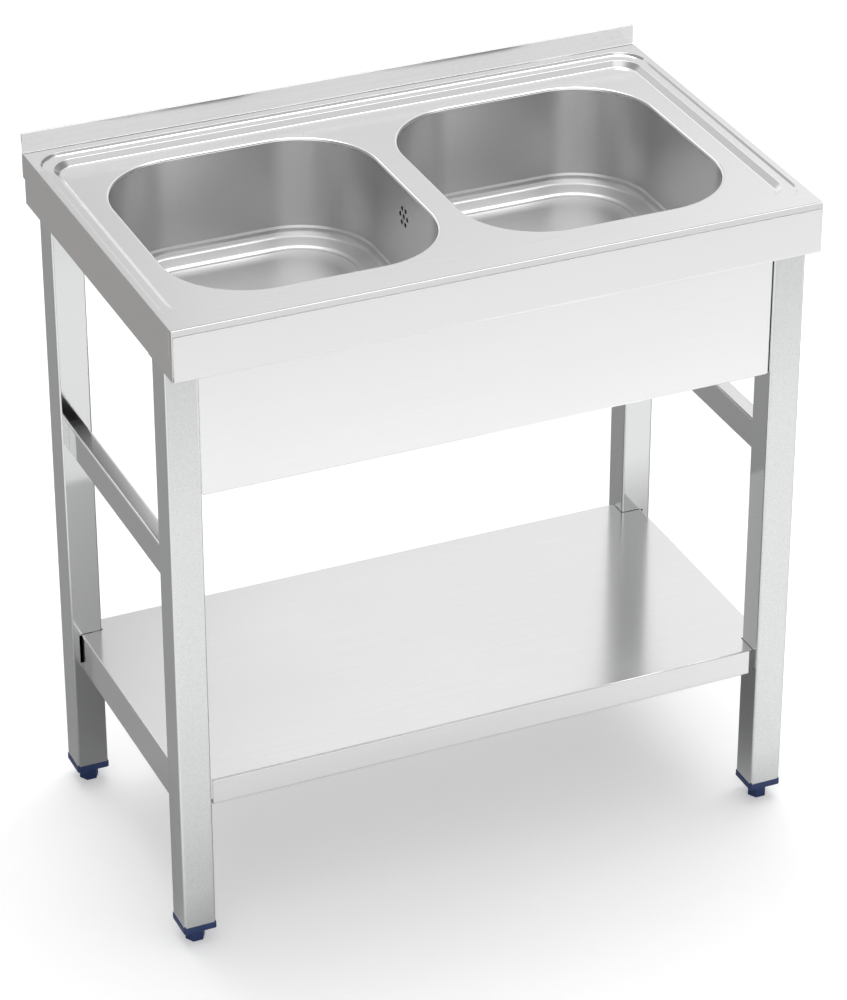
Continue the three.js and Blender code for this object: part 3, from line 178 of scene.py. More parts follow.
# %% Rounded lines
def rounded_line(corners, radii, steps=7, closed=False):
    """Each corner becomes an arc: the arc starts radius x tan(half the turn) before the corner, and its
    centre lies one radius to the side on which the line turns. An open line keeps its two ends."""
    corners = np.asarray(corners, float)
    inner = np.broadcast_to(np.asarray(radii, float), len(corners) if closed else len(corners) - 2)
    radii = inner if closed else np.concatenate([[0], inner, [0]])
    before, after = np.roll(corners, 1, 0), np.roll(corners, -1, 0)
    into = corners - before
    away = after - corners
    into /= np.linalg.norm(into, axis=1, keepdims=True)
    away /= np.linalg.norm(away, axis=1, keepdims=True)
    turn = np.arctan2(into[:, 0] * away[:, 1] - into[:, 1] * away[:, 0], (into * away).sum(1))
    start = corners - into * (radii * np.tan(np.abs(turn) / 2))[:, None]
    side = np.stack([-into[:, 1], into[:, 0]], 1) * (np.sign(turn) * radii)[:, None]
    centre = start + side
    angle = turn[:, None] * np.linspace(0, 1, steps + 1)
    spoke = -side[:, None, :]
    x = spoke[..., 0] * np.cos(angle) - spoke[..., 1] * np.sin(angle)
    y = spoke[..., 0] * np.sin(angle) + spoke[..., 1] * np.cos(angle)
    arcs = centre[:, None, :] + np.stack([x, y], -1)
    if closed:
        return arcs.reshape(-1, 2)
    return np.vstack([corners[:1], arcs[1:-1].reshape(-1, 2), corners[-1:]])


def rectangle(width, depth, radius, steps=6):
    """A rounded rectangle round the origin, anticlockwise."""
    x, y = width / 2, depth / 2
    return rounded_line([(x, y), (-x, y), (-x, -y), (x, -y)], radius, steps, closed=True)


def unit(angles):
    """Unit vectors of the plane at some angles."""
    return np.stack([np.cos(angles), np.sin(angles)], 1)


def round_section(radius, steps=48):
    """A circle round the origin, anticlockwise."""
    return radius * unit(np.linspace(0, 2 * np.pi, steps, endpoint=False))


# %% Sweeping a section straight
def place_section(section, along, at):
    """The section's two coordinates go to the two other axes, with the third at a fixed value; they
    are placed so that a section drawn anticlockwise faces the positive end of the axis."""
    across, up = np.asarray(section, float).T
    fixed = np.full(len(across), float(at))
    columns = {"x": (fixed, across, up), "y": (across, fixed, up), "z": (across, up, fixed)}
    return np.stack(columns[along], 1)


def swept(section, along, stations, closed=False):
    """A surface through copies of one section at each station along an axis."""
    rows = np.array([place_section(section, along, at) for at in stations])
    return grid(rows, close_columns=closed)


def solid_bar(section, along, low, high):
    """A closed section carried from low to high, with flat ends."""
    wall = swept(section, along, [low, high], closed=True)
    ends = [flat_face(place_section(section, along, at)) for at in (low, high)]
    return [wall, *ends]


# %% [markdown]
# ## The steel's finish
# Stainless sheet of this kind is satin: it was ground in one direction, so it shows fine parallel
# lines and reflects in a soft streak across them. The finish is built from noise. One noise is
# squeezed to fine lines, which move the tone and a very shallow bump; a fine one adds the metal's
# own speckle; and a broad one clouds tone and gloss, as handling and cleaning do. The bowls were
# drawn, so they also get the slow unevenness of a stretched sheet. The patterns are laid out in
# object coordinates, which here are real metres.

# %% Small helpers for nodes
def fill(tree, node, values):
    """Fills inputs of a node, given by name or number: a socket is linked, anything else is set."""
    for name, value in values.items():
        if isinstance(value, bpy.types.NodeSocket):
            tree.links.new(value, node.inputs[name])
        else:
            node.inputs[name].default_value = value
    return node


def new_node(tree, kind, values={}):
    """A new node of some kind with some of its inputs filled."""
    return fill(tree, tree.nodes.new("ShaderNode" + kind), values)


def empty_tree(owner):
    """The node tree of a material or a world, with nothing in it."""
    owner.use_nodes = True
    owner.node_tree.nodes.clear()
    return owner.node_tree


def new_material(name):
    """A material with one shader; returns both, with the material's tree between them."""
    material = bpy.data.materials.new(name)
    tree = empty_tree(material)
    shader = new_node(tree, "BsdfPrincipled")
    new_node(tree, "OutputMaterial", {"Surface": shader.outputs["BSDF"]})
    return material, tree, shader


def noise(tree, stretch, scale, detail=2.0, roughness=0.5):
    """Noise in object coordinates, stretched by a Mapping node; returns its value socket."""
    place = new_node(tree, "TexCoord").outputs["Object"]
    mapping = new_node(tree, "Mapping", {"Vector": place, "Scale": stretch}).outputs["Vector"]
    pattern = {"Vector": mapping, "Scale": scale, "Detail": detail, "Roughness": roughness}
    return new_node(tree, "TexNoise", pattern).outputs["Fac"]


def remap(tree, value, low, high, start=0.3, end=0.7):
    """The socket's values from start to end become low to high."""
    ends = {"From Min": start, "From Max": end, "To Min": low, "To Max": high}
    return new_node(tree, "MapRange", {"Value": value, **ends}).outputs["Result"]


def mixed(tree, amount, first, second, kind="RGBA"):
    """A colour between two colours, or a number between two with the kind FLOAT; sockets serve too."""
    node = new_node(tree, "Mix")
    node.data_type = kind
    return fill(tree, node, {"Factor": amount, "A": first, "B": second}).outputs["Result"]


def add_bumps(tree, shader, heights):
    """Chains Bump nodes: heights is a list of (socket, strength, depth in metres)."""
    chain = {}
    for height, strength, depth in heights:
        values = {"Height": height, "Strength": strength, "Distance": depth, **chain}
        chain = {"Normal": new_node(tree, "Bump", values).outputs["Normal"]}
    fill(tree, shader, chain)


# %% Satin steel
GRAIN = {"x": (6, 900, 900), "y": (900, 6, 900), "z": (900, 900, 6)}
EVEN = (1, 1, 1)
SPECK_SCALE, CLOUD_SCALE, WAVE_SCALE = 800.0, 5.0, 11.0  # per metre
GLOSS_DRIFT = 0.15  # share by which the roughness drifts to both sides
PALEST = 0.98


def shade_of(tone, tint):
    """A grey of some brightness with a slight tint, as red, green, blue and full opacity."""
    return (*(tone * part for part in tint), 1)


def satin_steel(name, grain, tone, roughness, line, speckle=0.2, depth=5e-6, waves=0.0, tint=EVEN):
    """Satin stainless: grain is the direction of the grinding lines, line and speckle how strongly the
    lines and the speckle show, and depth and waves how deep the lines and the unevenness are, in metres."""
    material, tree, shader = new_material(name)
    lines = noise(tree, GRAIN[grain], 1.0, detail=3.0, roughness=0.6)
    speck = noise(tree, EVEN, SPECK_SCALE, detail=2.0)
    cloud = noise(tree, EVEN, CLOUD_SCALE, detail=4.0)
    dark = shade_of(tone * (1 - line), tint)
    light = shade_of(min(tone * (1 + line), PALEST), tint)
    ground = mixed(tree, remap(tree, lines, 0, 1), dark, light)
    worn = remap(tree, cloud, 0, 0.2, 0.2, 0.8)
    handled = mixed(tree, worn, ground, shade_of(tone * 0.93, tint))
    dots = remap(tree, speck, 0, speckle, 0.35, 0.65)
    glossy, dull = roughness * (1 - GLOSS_DRIFT), roughness * (1 + GLOSS_DRIFT)
    fill(tree, shader, {
        "Base Color": mixed(tree, dots, handled, shade_of(tone * 0.8, tint)),
        "Roughness": remap(tree, cloud, glossy, dull, 0.1, 0.9),
        "Metallic": 1.0,
        "Anisotropic": 0.2,
    })
    bumps = [(lines, 0.15, depth), (speck, 0.1, depth)]
    if waves:
        bumps.append((noise(tree, EVEN, WAVE_SCALE, detail=0.0), 0.5, waves))
    add_bumps(tree, shader, bumps)
    return material


deck_steel = satin_steel("deck_satin_steel", "x", 0.84, 0.13, line=0.03)
# the bowls' darker tone is partly the drawn sheet's own tone and partly painted shade of the hollow inside
# them
bowl_painted_shade_steel = satin_steel("drawn_bowl_painted_shade_steel", "z", 0.73, 0.325, line=0.01, depth=1e-6, waves=6e-4)
# painted light: the sheets that face the front are the same steel as the deck and the sides, given a paler
# tone
panel_painted_light_steel = satin_steel("panel_satin_painted_light_steel", "x", 0.94, 0.235, line=0.02)
# painted shade: the side aprons and tabs are the same steel as the deck and the front apron, given a darker
# tone
side_painted_shade_steel = satin_steel("side_satin_painted_shade_steel", "y", 0.80, 0.235, line=0.03, tint=(1.02, 1, 0.98))
tube_steel = satin_steel("tube_steel", "z", 0.78, 0.08, line=0.01, speckle=0.6, tint=(0.99, 1, 1))
rail_steel = satin_steel("rail_steel", "y", 0.76, 0.08, line=0.01, speckle=0.5)
shelf_steel = satin_steel("shelf_satin_steel", "x", 0.80, 0.17, line=0.02)
fitting_steel = satin_steel("turned_steel", "z", 0.72, 0.18, line=0.02)
thread_steel = satin_steel("plated_steel", "x", 0.55, 0.38, line=0.05)
print("steel finishes:", sum(m.name.endswith("steel") for m in bpy.data.materials))


# %% [markdown]
# ## Plastic and rubber
# The leg caps and feet are moulded in navy plastic: not quite matt, with a fine spark-eroded texture
# and paler, drier places where they were handled. The waste fittings under the bowls are plain grey
# mouldings, and the seals are black rubber with a dusty bloom.

# %% Moulded finishes
MOULD_PATCHES = 60.0  # per metre
PIT_DEPTH = 6e-5


def moulded(name, colour, pale, roughness, texture=1400.0):
    """A moulded surface: a fine eroded texture, drifting colour and uneven gloss."""
    material, tree, shader = new_material(name)
    cloud = noise(tree, EVEN, MOULD_PATCHES, detail=4.0)
    pits = noise(tree, EVEN, texture, detail=1.0)
    fill(tree, shader, {
        "Base Color": mixed(tree, remap(tree, cloud, 0, 0.55), (*colour, 1), (*pale, 1)),
        "Roughness": remap(tree, cloud, roughness - 0.06, roughness + 0.08),
    })
    add_bumps(tree, shader, [(pits, 0.35, PIT_DEPTH)])
    return material


navy_plastic = moulded("navy_plastic", (0.012, 0.030, 0.115), (0.022, 0.048, 0.16), 0.42)
grey_plastic = moulded("grey_plastic", (0.36, 0.37, 0.38), (0.46, 0.47, 0.48), 0.48)
black_rubber = moulded("black_rubber", (0.018, 0.018, 0.019), (0.05, 0.05, 0.05), 0.7, texture=500.0)
print("all finishes:", len(bpy.data.materials))


# %% [markdown]
# ## The pressed sink top
# The top is one sheet. A press forms two small steps all round, so that the deck lies 9 mm below
# the rim and water stays on it, and rolls a lip down round each bowl's opening. The back edge turns
# up into an upstand and is hemmed, and the front edge turns down behind the apron.
# Every ring round the sheet is a rounded rectangle, and the outermost has its corners pulled square.
# A point on one ring is carried to the next by keeping its place along the straight sides and its
# direction round the corners, so all rings have the same points and can be joined as a grid.

# %% Sizes of the top
LEFT, RIGHT = -400.0, 400.0
FRONT, BACK = -250.0, 250.0
RIM = 843.5
SHEET = 1.2
SEAM = 0.3
UPPER_WIDTH, UPPER_DROP = 2.3, 2.7
LOWER_WIDTH, LOWER_DROP = 7.0, 6.3
TREAD = RIM - UPPER_DROP
DECK = TREAD - LOWER_DROP
FOLD_FRONT = FRONT + SHEET + SEAM  # outer face of the edge turned down behind the front apron
UPSTAND_FACE = BACK - 3.0
UPSTAND_RISE, HEM = 25.0, 12.0
DOWNTURN, TAB = 35.0, 9.0
LIP = 3.5
BOWL_X, BOWL_Y = -182.0, 2.4
BOWL_CORNER = 100.0
print("deck is", round(RIM - DECK, 3), "mm below the rim; lip radius", LIP)


# %% Outlines of the rings
def outline(x0, x1, y0, y1, corner):
    """A rounded rectangle as the low and high corner centre and the corner radius."""
    return np.array([x0 + corner, y0 + corner]), np.array([x1 - corner, y1 - corner]), corner


def inset(shape, amount):
    """The outline moved inwards: its corner centres stay and the radius shrinks."""
    low, high, radius = shape
    return low, high, radius - amount


def carried(points, old, new, square=False):
    """Each point is its nearest spot on the box of corner centres plus radius times direction. The spot
    is scaled to the new box and the direction kept; a square corner stretches the direction to the
    corner's two straight sides."""
    low, high, radius = old
    new_low, new_high, new_radius = new
    spot = np.clip(points, low, high)
    direction = (points - spot) / radius
    share = (spot - low) / (high - low)
    if square:
        direction = direction / np.abs(direction).max(axis=1, keepdims=True)
    return new_low + share * (new_high - new_low) + new_radius * direction


FRONT_FLAT, BACK_FLAT = FOLD_FRONT + 2, UPSTAND_FACE - 3  # where the rim's flat meets its two bends
rim_edge = outline(LEFT, RIGHT, FRONT_FLAT, BACK_FLAT, 35)
upper_step = outline(LEFT + 7.5, RIGHT - 7.5, FRONT + 23.2, BACK - 17.5, 35)
lower_step = outline(LEFT + 19, RIGHT - 19, FRONT + 42.7, BACK - 34, 31)
deck_ring = inset(lower_step, LOWER_WIDTH + 1.5)
opening = outline(BOWL_X - 163.5, BOWL_X + 164, BOWL_Y - 178.5, BOWL_Y + 178.5, BOWL_CORNER)
lip_edge = inset(opening, -LIP)
centre = np.array([BOWL_X, BOWL_Y])
print("opening:", np.round(opening[1] - opening[0] + 2 * BOWL_CORNER, 1), "mm wide and long")


# %% [markdown]
# Deck and lip must share their points, or a seam would show round each opening. So rays are sent out
# from the middle of a bowl, in the directions that suit the lip's round corners and those of the deck,
# and each ray gives one point on the lip and one on the deck's edge. The right half mirrors the left.

# %% Rays round a bowl
HALVINGS = 40
FARTHEST = 900.0
CLEARANCE = 0.004  # radians between a ray and a corner of the deck


def distance_outside(points, shape):
    """Signed distance to a rounded rectangle: distance to its box of corner centres, less the radius."""
    low, high, radius = shape
    gap = np.abs(points - (low + high) / 2) - (high - low) / 2
    outside = np.linalg.norm(np.maximum(gap, 0), axis=1)
    return outside + np.minimum(gap.max(axis=1), 0) - radius


def where_ray_meets(angles, shape, middle=False):
    """Point where the ray from the bowl's centre leaves the outline, found by halving an interval again
    and again. With middle, the unit's centre plane stops the ray as well."""
    ray = unit(angles)
    near, far = np.zeros(len(angles)), np.full(len(angles), FARTHEST)
    for _ in range(HALVINGS):
        reach = (near + far) / 2
        points = centre + ray * reach[:, None]
        outside = distance_outside(points, shape)
        if middle:
            outside = np.maximum(outside, points[:, 0])
        near = np.where(outside < 0, reach, near)
        far = np.where(outside < 0, far, reach)
    return centre + ray * ((near + far) / 2)[:, None]


def around(shape, corner_steps, straight_steps):
    """Points on an outline, corner by corner, with evenly spaced directions round each corner."""
    turns = np.linspace(0, np.pi / 2, corner_steps + 1)
    low, high, radius = shape
    corners = [(high[0], high[1]), (low[0], high[1]), (low[0], low[1]), (high[0], low[1])]
    arcs = [np.array(corner) + radius * unit(turns + k * np.pi / 2) for k, corner in enumerate(corners)]
    pieces = []
    for k, arc in enumerate(arcs):
        following = arcs[(k + 1) % 4][0]
        share = np.linspace(0, 1, straight_steps + 1)[1:-1, None]
        pieces += [arc, arc[-1] + share * (following - arc[-1])]
    return np.vstack(pieces)


def angle_from_centre(points):
    """Directions of points seen from the bowl's centre, in radians."""
    away = points - centre
    return np.arctan2(away[:, 1], away[:, 0])


deck_corners = around(deck_ring, 16, 2)
deck_corners = deck_corners[deck_corners[:, 0] < LEFT + 100]
deck_back, deck_front = deck_ring[1][1] + deck_ring[2], deck_ring[0][1] - deck_ring[2]
known = np.vstack([deck_corners, [(0, deck_back), (0, deck_front)]])
lip_angles = angle_from_centre(around(lip_edge, 24, 9))
nearness = np.abs(lip_angles[:, None] - angle_from_centre(known)[None, :]).min(axis=1)
outer = np.vstack([known, where_ray_meets(lip_angles[nearness > CLEARANCE], deck_ring, middle=True)])
outer = outer[np.argsort(angle_from_centre(outer))]
angles = angle_from_centre(outer)
lip_ring = where_ray_meets(angles, lip_edge)
print("directions round a bowl:", len(angles))


# %% [markdown]
# The pressed steps are a flat, a slope and a flat with both corners rounded. Their section is drawn
# once and carried round every ring, with the distance inwards as one coordinate and the height as the
# other. The rings stop at the unit's centre plane, where the mirrored half joins.

# %% The steps, as profiles
def pressed_step(width, depth, radii, top):
    """A step's profile as pairs of the distance inwards and the height."""
    corners = [(-2, 0), (0, 0), (width, -depth), (width + 2, -depth)]
    return rounded_line(corners, radii)[1:-1] + [0, top]


upper_profile = pressed_step(UPPER_WIDTH, UPPER_DROP, 0.5, RIM)
lower_profile = pressed_step(LOWER_WIDTH, LOWER_DROP, [0.8, 1.8], TREAD)


def level(points, z):
    """Points of the plane lifted to a height."""
    return np.column_stack([points, np.full(len(points), float(z))])


# The deck's edge without its stretch along the centre plane, as one line from the front to the back.
on_edge = outer[:, 0] < -1e-6
on_edge |= np.isclose(outer[:, 1], deck_back) | np.isclose(outer[:, 1], deck_front)
gap_start = int(np.argmax(~on_edge))
deck_edge = np.roll(outer, -gap_start, 0)[np.roll(on_edge, -gap_start)]
deck_edge[np.abs(deck_edge[:, 0]) < 1e-4, 0] = 0.0
print("points along the deck's edge in one half:", len(deck_edge))


# %% The sheet, from rim to lip
def half_of_top():
    """The left half of the sheet: rim, steps and deck as rings, then the lip, whose quarter circle has
    sine of the angle as its way inwards and cosine as its height."""
    rings = [(inset(upper_step, -0.8), RIM)]
    rings += [(inset(upper_step, inwards), z) for inwards, z in upper_profile]
    rings += [(inset(upper_step, UPPER_WIDTH + 0.9), TREAD), (inset(lower_step, -1.0), TREAD)]
    rings += [(inset(lower_step, inwards), z) for inwards, z in lower_profile[:-1]]
    rows = [level(rim_points, RIM)]
    rows += [level(carried(deck_edge, deck_ring, ring), z) for ring, z in rings]
    rows.append(level(deck_edge, DECK))
    deck = [outer + share * (lip_ring - outer) for share in (0, 0.02, 0.5)]
    deck.append(where_ray_meets(angles, inset(lip_edge, -0.8)))
    deck_rows = [level(points, DECK) for points in deck]
    for roll in np.linspace(0, np.pi / 2, 11):
        ring = inset(lip_edge, LIP * np.sin(roll))
        deck_rows.append(level(carried(lip_ring, lip_edge, ring), DECK - LIP + LIP * np.cos(roll)))
    return [grid(np.array(rows)), grid(np.array(deck_rows), close_columns=True)]


rim_points = carried(deck_edge, deck_ring, rim_edge, square=True)
half = half_of_top()
front_x = np.sort(rim_points[np.isclose(rim_points[:, 1], FRONT_FLAT), 0])
back_x = np.sort(rim_points[np.isclose(rim_points[:, 1], BACK_FLAT), 0])
print("points along the front edge of one half:", len(front_x))


# %% [markdown]
# Along the back the sheet turns up into the upstand and is hemmed: its top edge is folded down again
# behind. Along the front it turns down behind the apron. Both are a profile carried along the points
# that the rim already has.

# %% Upstand and front edge
def edge_strip(x_values, profile):
    """A profile in (y, z) carried along the edge's own points."""
    rows = np.array([np.column_stack([np.full(len(profile), x), profile]) for x in x_values])
    return grid(rows)


upstand = [(UPSTAND_FACE - 9, RIM), (UPSTAND_FACE, RIM), (UPSTAND_FACE, RIM + UPSTAND_RISE),
           (BACK, RIM + UPSTAND_RISE), (BACK, RIM + UPSTAND_RISE - HEM)]
upstand_profile = rounded_line(upstand, [1.6, 0.7, 0.7])[1:]
downturn = [(FOLD_FRONT + 9, RIM), (FOLD_FRONT, RIM), (FOLD_FRONT, RIM - DOWNTURN)]
downturn_profile = rounded_line(downturn, 1.1, steps=8)[1:]
half.append(flipped(edge_strip(back_x, upstand_profile)))
half.append(edge_strip(front_x, downturn_profile))

sink_top = new_object("sink_top_sheet", half + [mirrored(part) for part in half])
ups = [face.normal.z for face in sink_top.data.polygons if abs(face.center.z / MM - DECK) < 0.01]
print("deck faces upwards:", min(ups) > 0.99, " faces:", len(sink_top.data.polygons))
finish(sink_top, deck_steel, "frame", ["sink_top"], gauge=SHEET, edge=0.15)


# %% [markdown]
# The downturned front edge is folded round each front corner by a small tab, which lies flush with
# the side apron and shows as a pale stripe beside the corner.

# %% Corner tabs
TAB_FRONT, TAB_BACK = FOLD_FRONT + 0.4, FOLD_FRONT + TAB
left_tab = flat_face([
    (LEFT, TAB_FRONT, RIM - 2.2), (LEFT, TAB_BACK, RIM - 1.6),
    (LEFT, TAB_BACK, RIM - DOWNTURN), (LEFT, TAB_FRONT, RIM - DOWNTURN),
])
tabs = new_object("sink_top_corner_tabs", [left_tab, mirrored(left_tab)])
finish(tabs, side_painted_shade_steel, "frame", ["sink_top"], gauge=SHEET, edge=0.2)


# %% [markdown]
# ## The bowls
# A bowl is deep drawn from one blank: the wall leans in a little, a narrow ledge runs round it low
# down, a fillet leads to a gently sloped shoulder, a short drop to the floor follows, and the floor
# falls to a recess for the waste. In plan each ring is a rounded rectangle until the floor, where
# rings turn step by step into circles.

# %% Section of a bowl
FLOOR_EDGE = RIM - 145
FLOOR = RIM - 152
WASTE_SEAT = FLOOR - 3
RECESS_RADIUS, WASTE_HOLE = 61, 45
wall_line = [
    (0, DECK - LIP), (3.0, RIM - 122), (5.0, RIM - 124.7), (5.4, RIM - 132.5), (24, RIM - 139.1),
    (28, RIM - 141.5), (60, FLOOR_EDGE),
]
wall_profile = rounded_line(wall_line, [1.0, 1.0, 10, 9, 12], steps=10)[:-1]
upper_wall = wall_profile[0] + np.linspace(0, 1, 5)[:, None] * (wall_profile[1] - wall_profile[0])
bowl_profile = np.vstack([upper_wall, wall_profile[2:]])
print("depth from the rim to the waste's seat:", RIM - WASTE_SEAT, "mm")


# %% Rings of a bowl
def floor_rings(edge):
    """Rings from the floor's edge to the circular recess: each point slides along a straight line to its
    place on the circle, while the floor falls by the smooth curve share x share x (3 - 2 x share)."""
    spoke = edge - centre
    circle = centre + RECESS_RADIUS * spoke / np.linalg.norm(spoke, axis=1, keepdims=True)
    rings = []
    for share in np.linspace(0, 1, 12)[1:]:
        fallen = share * share * (3 - 2 * share)
        rings.append(level(edge + share * (circle - edge), FLOOR_EDGE - (FLOOR_EDGE - FLOOR) * fallen))
    return rings


def recess_rings():
    """The recess: a rounded slope down to a flat seat with the waste's hole."""
    line = [(RECESS_RADIUS, FLOOR), (RECESS_RADIUS - 1.5, FLOOR), (RECESS_RADIUS - 3.2, WASTE_SEAT),
            (WASTE_HOLE, WASTE_SEAT)]
    slope = rounded_line(line, 1.0, steps=4)[1:]
    return [level(centre + radius * unit(angles), z) for radius, z in slope]


bowl_edge = carried(lip_ring, lip_edge, opening)
bowl_rows = [level(carried(bowl_edge, opening, inset(opening, i)), z) for i, z in bowl_profile]
bowl_rows += floor_rings(bowl_rows[-1][:, :2]) + recess_rings()
left_bowl_skin = grid(np.array(bowl_rows), close_columns=True)
print("bowl rings:", len(bowl_rows))


# %% [markdown]
# The overflow is seven small punched holes in the wall between the bowls. They are real holes: seven
# round cutters are taken away from the bowl once it has its gauge.

# %% Overflow holes
def cut_with(thing, cutter_parts):
    """Applies the modifiers of a piece and a cut by closed shapes, which are dropped afterwards."""
    cutter = outwards(new_object("cutter", cutter_parts))
    knife = thing.modifiers.new("cut", "BOOLEAN")
    knife.operation = "DIFFERENCE"
    knife.solver = "EXACT"
    knife.object = cutter
    bpy.context.view_layer.update()
    graph = bpy.context.evaluated_depsgraph_get()
    result = bpy.data.meshes.new_from_object(thing.evaluated_get(graph))
    spent = [thing.data, cutter.data]
    thing.modifiers.clear()
    thing.data = result
    bpy.data.objects.remove(cutter)
    for mesh in spent:
        bpy.data.meshes.remove(mesh)


SIDES = (("left", -1), ("right", 1))
PERFORATION, CIRCLE = 3.1, 10.0  # radius of a hole and of the circle of six
OVERFLOW_Y, OVERFLOW_Z = BOWL_Y - 4, RIM - 46.6
WALL_X = opening[1][0] + BOWL_CORNER - 1.05  # the leaning wall at the height of the holes
middles = np.vstack([(0, 0), round_section(CIRCLE, 6)]) + [OVERFLOW_Y, OVERFLOW_Z]
for word, side in SIDES:
    skin = left_bowl_skin if side < 0 else mirrored(left_bowl_skin)
    bowl = new_object(f"bowl_{word}_drawn", [skin])
    thickened(bowl, SHEET)
    drills, x = [], -side * WALL_X
    for middle in middles:
        drills += solid_bar(round_section(PERFORATION, 20) + middle, "x", x - 6, x + 6)
    cut_with(bowl, drills)
    finish(bowl, bowl_painted_shade_steel, "frame", [f"bowl_{word}"], sharp=40)


# %% [markdown]
# ## Legs and side rails
# The legs are 40 mm square tube with 1.5 mm walls. Each has a slot at the height of the shelf, in which
# the shelf's bearer ends. The rails are 20 x 40 mm tube, butted between the legs and welded.

# %% Tubes
LEG_X, LEG = 378.5, 40.0
LEG_BOTTOM, LEG_TOP = 28.7, 833.0
FRONT_LEG_Y, REAR_LEG_Y = -197.0, 180.0
LEGS_FRONT, LEGS_REAR = FRONT_LEG_Y + LEG / 2, REAR_LEG_Y - LEG / 2  # inner faces of the legs
LEGS_SIDE = LEG_X - LEG / 2
SLOT = [(-10, -4), (10, -4), (10, 4), (-10, 4)]
SLOT_LOW, SLOT_HIGH = 181.8, 221.8
TUBE_WALL, TUBE_CORNER = 1.5, 3.0
CORNERS = [
    (f"{depth}_{word}", side * LEG_X, y)
    for depth, y in (("front", FRONT_LEG_Y), ("rear", REAR_LEG_Y))
    for word, side in SIDES
]


def moved(parts, x=0.0, y=0.0, z=0.0):
    """The parts moved by a distance along each axis."""
    return [(points + [x, y, z], faces) for points, faces in parts]


leg_skin = swept(rectangle(LEG, LEG, TUBE_CORNER), "z", np.linspace(LEG_BOTTOM, LEG_TOP, 9), closed=True)
for word, x, y in CORNERS:
    leg = new_object(f"leg_{word}_tube", moved([leg_skin], x, y))
    thickened(leg, TUBE_WALL)
    inner_face = LEGS_FRONT if y < 0 else LEGS_REAR
    cut_with(leg, moved(solid_bar(SLOT, "z", SLOT_LOW, SLOT_HIGH), x, inner_face))
    finish(leg, tube_steel, "frame", [f"leg_{word}"], edge=0.3)

# %% Rails
RAIL_LOW, RAIL_HIGH, RAIL_WIDTH = 481.0, 521.0, 20.0
rail_section = rectangle(RAIL_WIDTH, RAIL_HIGH - RAIL_LOW, TUBE_CORNER)
rail_ends = (LEGS_FRONT + SEAM, LEGS_REAR - SEAM)
rail_skin = flipped(swept(rail_section, "y", np.linspace(*rail_ends, 9), closed=True))
for word, side in SIDES:
    parts = moved([rail_skin], side * LEG_X, 0, (RAIL_LOW + RAIL_HIGH) / 2)
    rail = new_object(f"side_rail_{word}_tube", parts)
    finish(rail, rail_steel, "frame", [f"side_rail_{word}"], gauge=TUBE_WALL, edge=0.2)


# %% [markdown]
# ## Aprons
# The aprons are folded from the same sheet as the top. Each has a flange turned in along its bottom
# edge, which stiffens it and hides the cut edge. The side aprons are notched for the corner tabs of
# the top, and their lower back corner is cut away to clear pipes on the wall.

# %% Front apron
APRON_LOW, APRON_HIGH = 780.1, 835.6
FLANGE = 12.0
BEND = 2.0


def folded(corners, along, stations):
    """A folded sheet's outer face: a line with bends at its inner corners, swept along an axis."""
    return swept(rounded_line(corners, BEND), along, stations)


front_line = [(FRONT, APRON_HIGH), (FRONT, APRON_LOW), (FRONT + FLANGE, APRON_LOW)]
between_sides = np.linspace(LEFT + SHEET + SEAM, RIGHT - SHEET - SEAM, 17)
apron = new_object("front_apron_sheet", [folded(front_line, "x", between_sides)])
finish(apron, panel_painted_light_steel, "frame", ["front_apron"], gauge=SHEET, edge=0.2)


# %% Side aprons
def polygon(points, axis, at, direction):
    """A flat many-sided face across an axis, turned so that it faces the positive or negative way."""
    points = place_section(points, axis, at)
    following = np.roll(points, -1, 0)
    area = np.cross(points, following).sum(0)
    facing = area["xyz".index(axis)] * direction > 0
    part = flat_face(points)
    return part if facing else flipped(part)


FLANGE_FROM, FLANGE_TO = LEGS_FRONT + 5, LEGS_REAR - 5
CUT_DEPTH, CUT_HEIGHT = 7.0, 31.0
side_top, notch_end, notch_foot = RIM - SHEET - SEAM, TAB_BACK + SEAM, RIM - DOWNTURN - SEAM
side_plate = [
    (FOLD_FRONT, APRON_LOW), (FLANGE_FROM, APRON_LOW), (FLANGE_FROM, APRON_LOW + BEND),
    (FLANGE_TO, APRON_LOW + BEND), (FLANGE_TO, APRON_LOW), (BACK - CUT_DEPTH, APRON_LOW),
    (BACK - CUT_DEPTH, APRON_LOW + CUT_HEIGHT), (BACK, APRON_LOW + CUT_HEIGHT), (BACK, side_top),
    (notch_end, side_top), (notch_end, notch_foot), (FOLD_FRONT, notch_foot),
]
side_line = [(LEFT + FLANGE, APRON_LOW), (LEFT, APRON_LOW), (LEFT, APRON_LOW + 9)]
side_bend = rounded_line(side_line, BEND)[:-1]
side_fold = swept(side_bend, "y", [FLANGE_FROM, FLANGE_TO])
left_side = [polygon(side_plate, "x", LEFT, -1), side_fold]
for word, parts in (("left", left_side), ("right", [mirrored(part) for part in left_side])):
    apron = new_object(f"side_apron_{word}_sheet", parts)
    finish(apron, side_painted_shade_steel, "frame", [f"side_apron_{word}"], gauge=SHEET, edge=0.2)


# %% [markdown]
# ## Front panel
# A sheet between the front legs hides the bowls. Its sides are folded back along the legs and screwed
# to them, and its lower edge is folded in so that no raw edge shows.

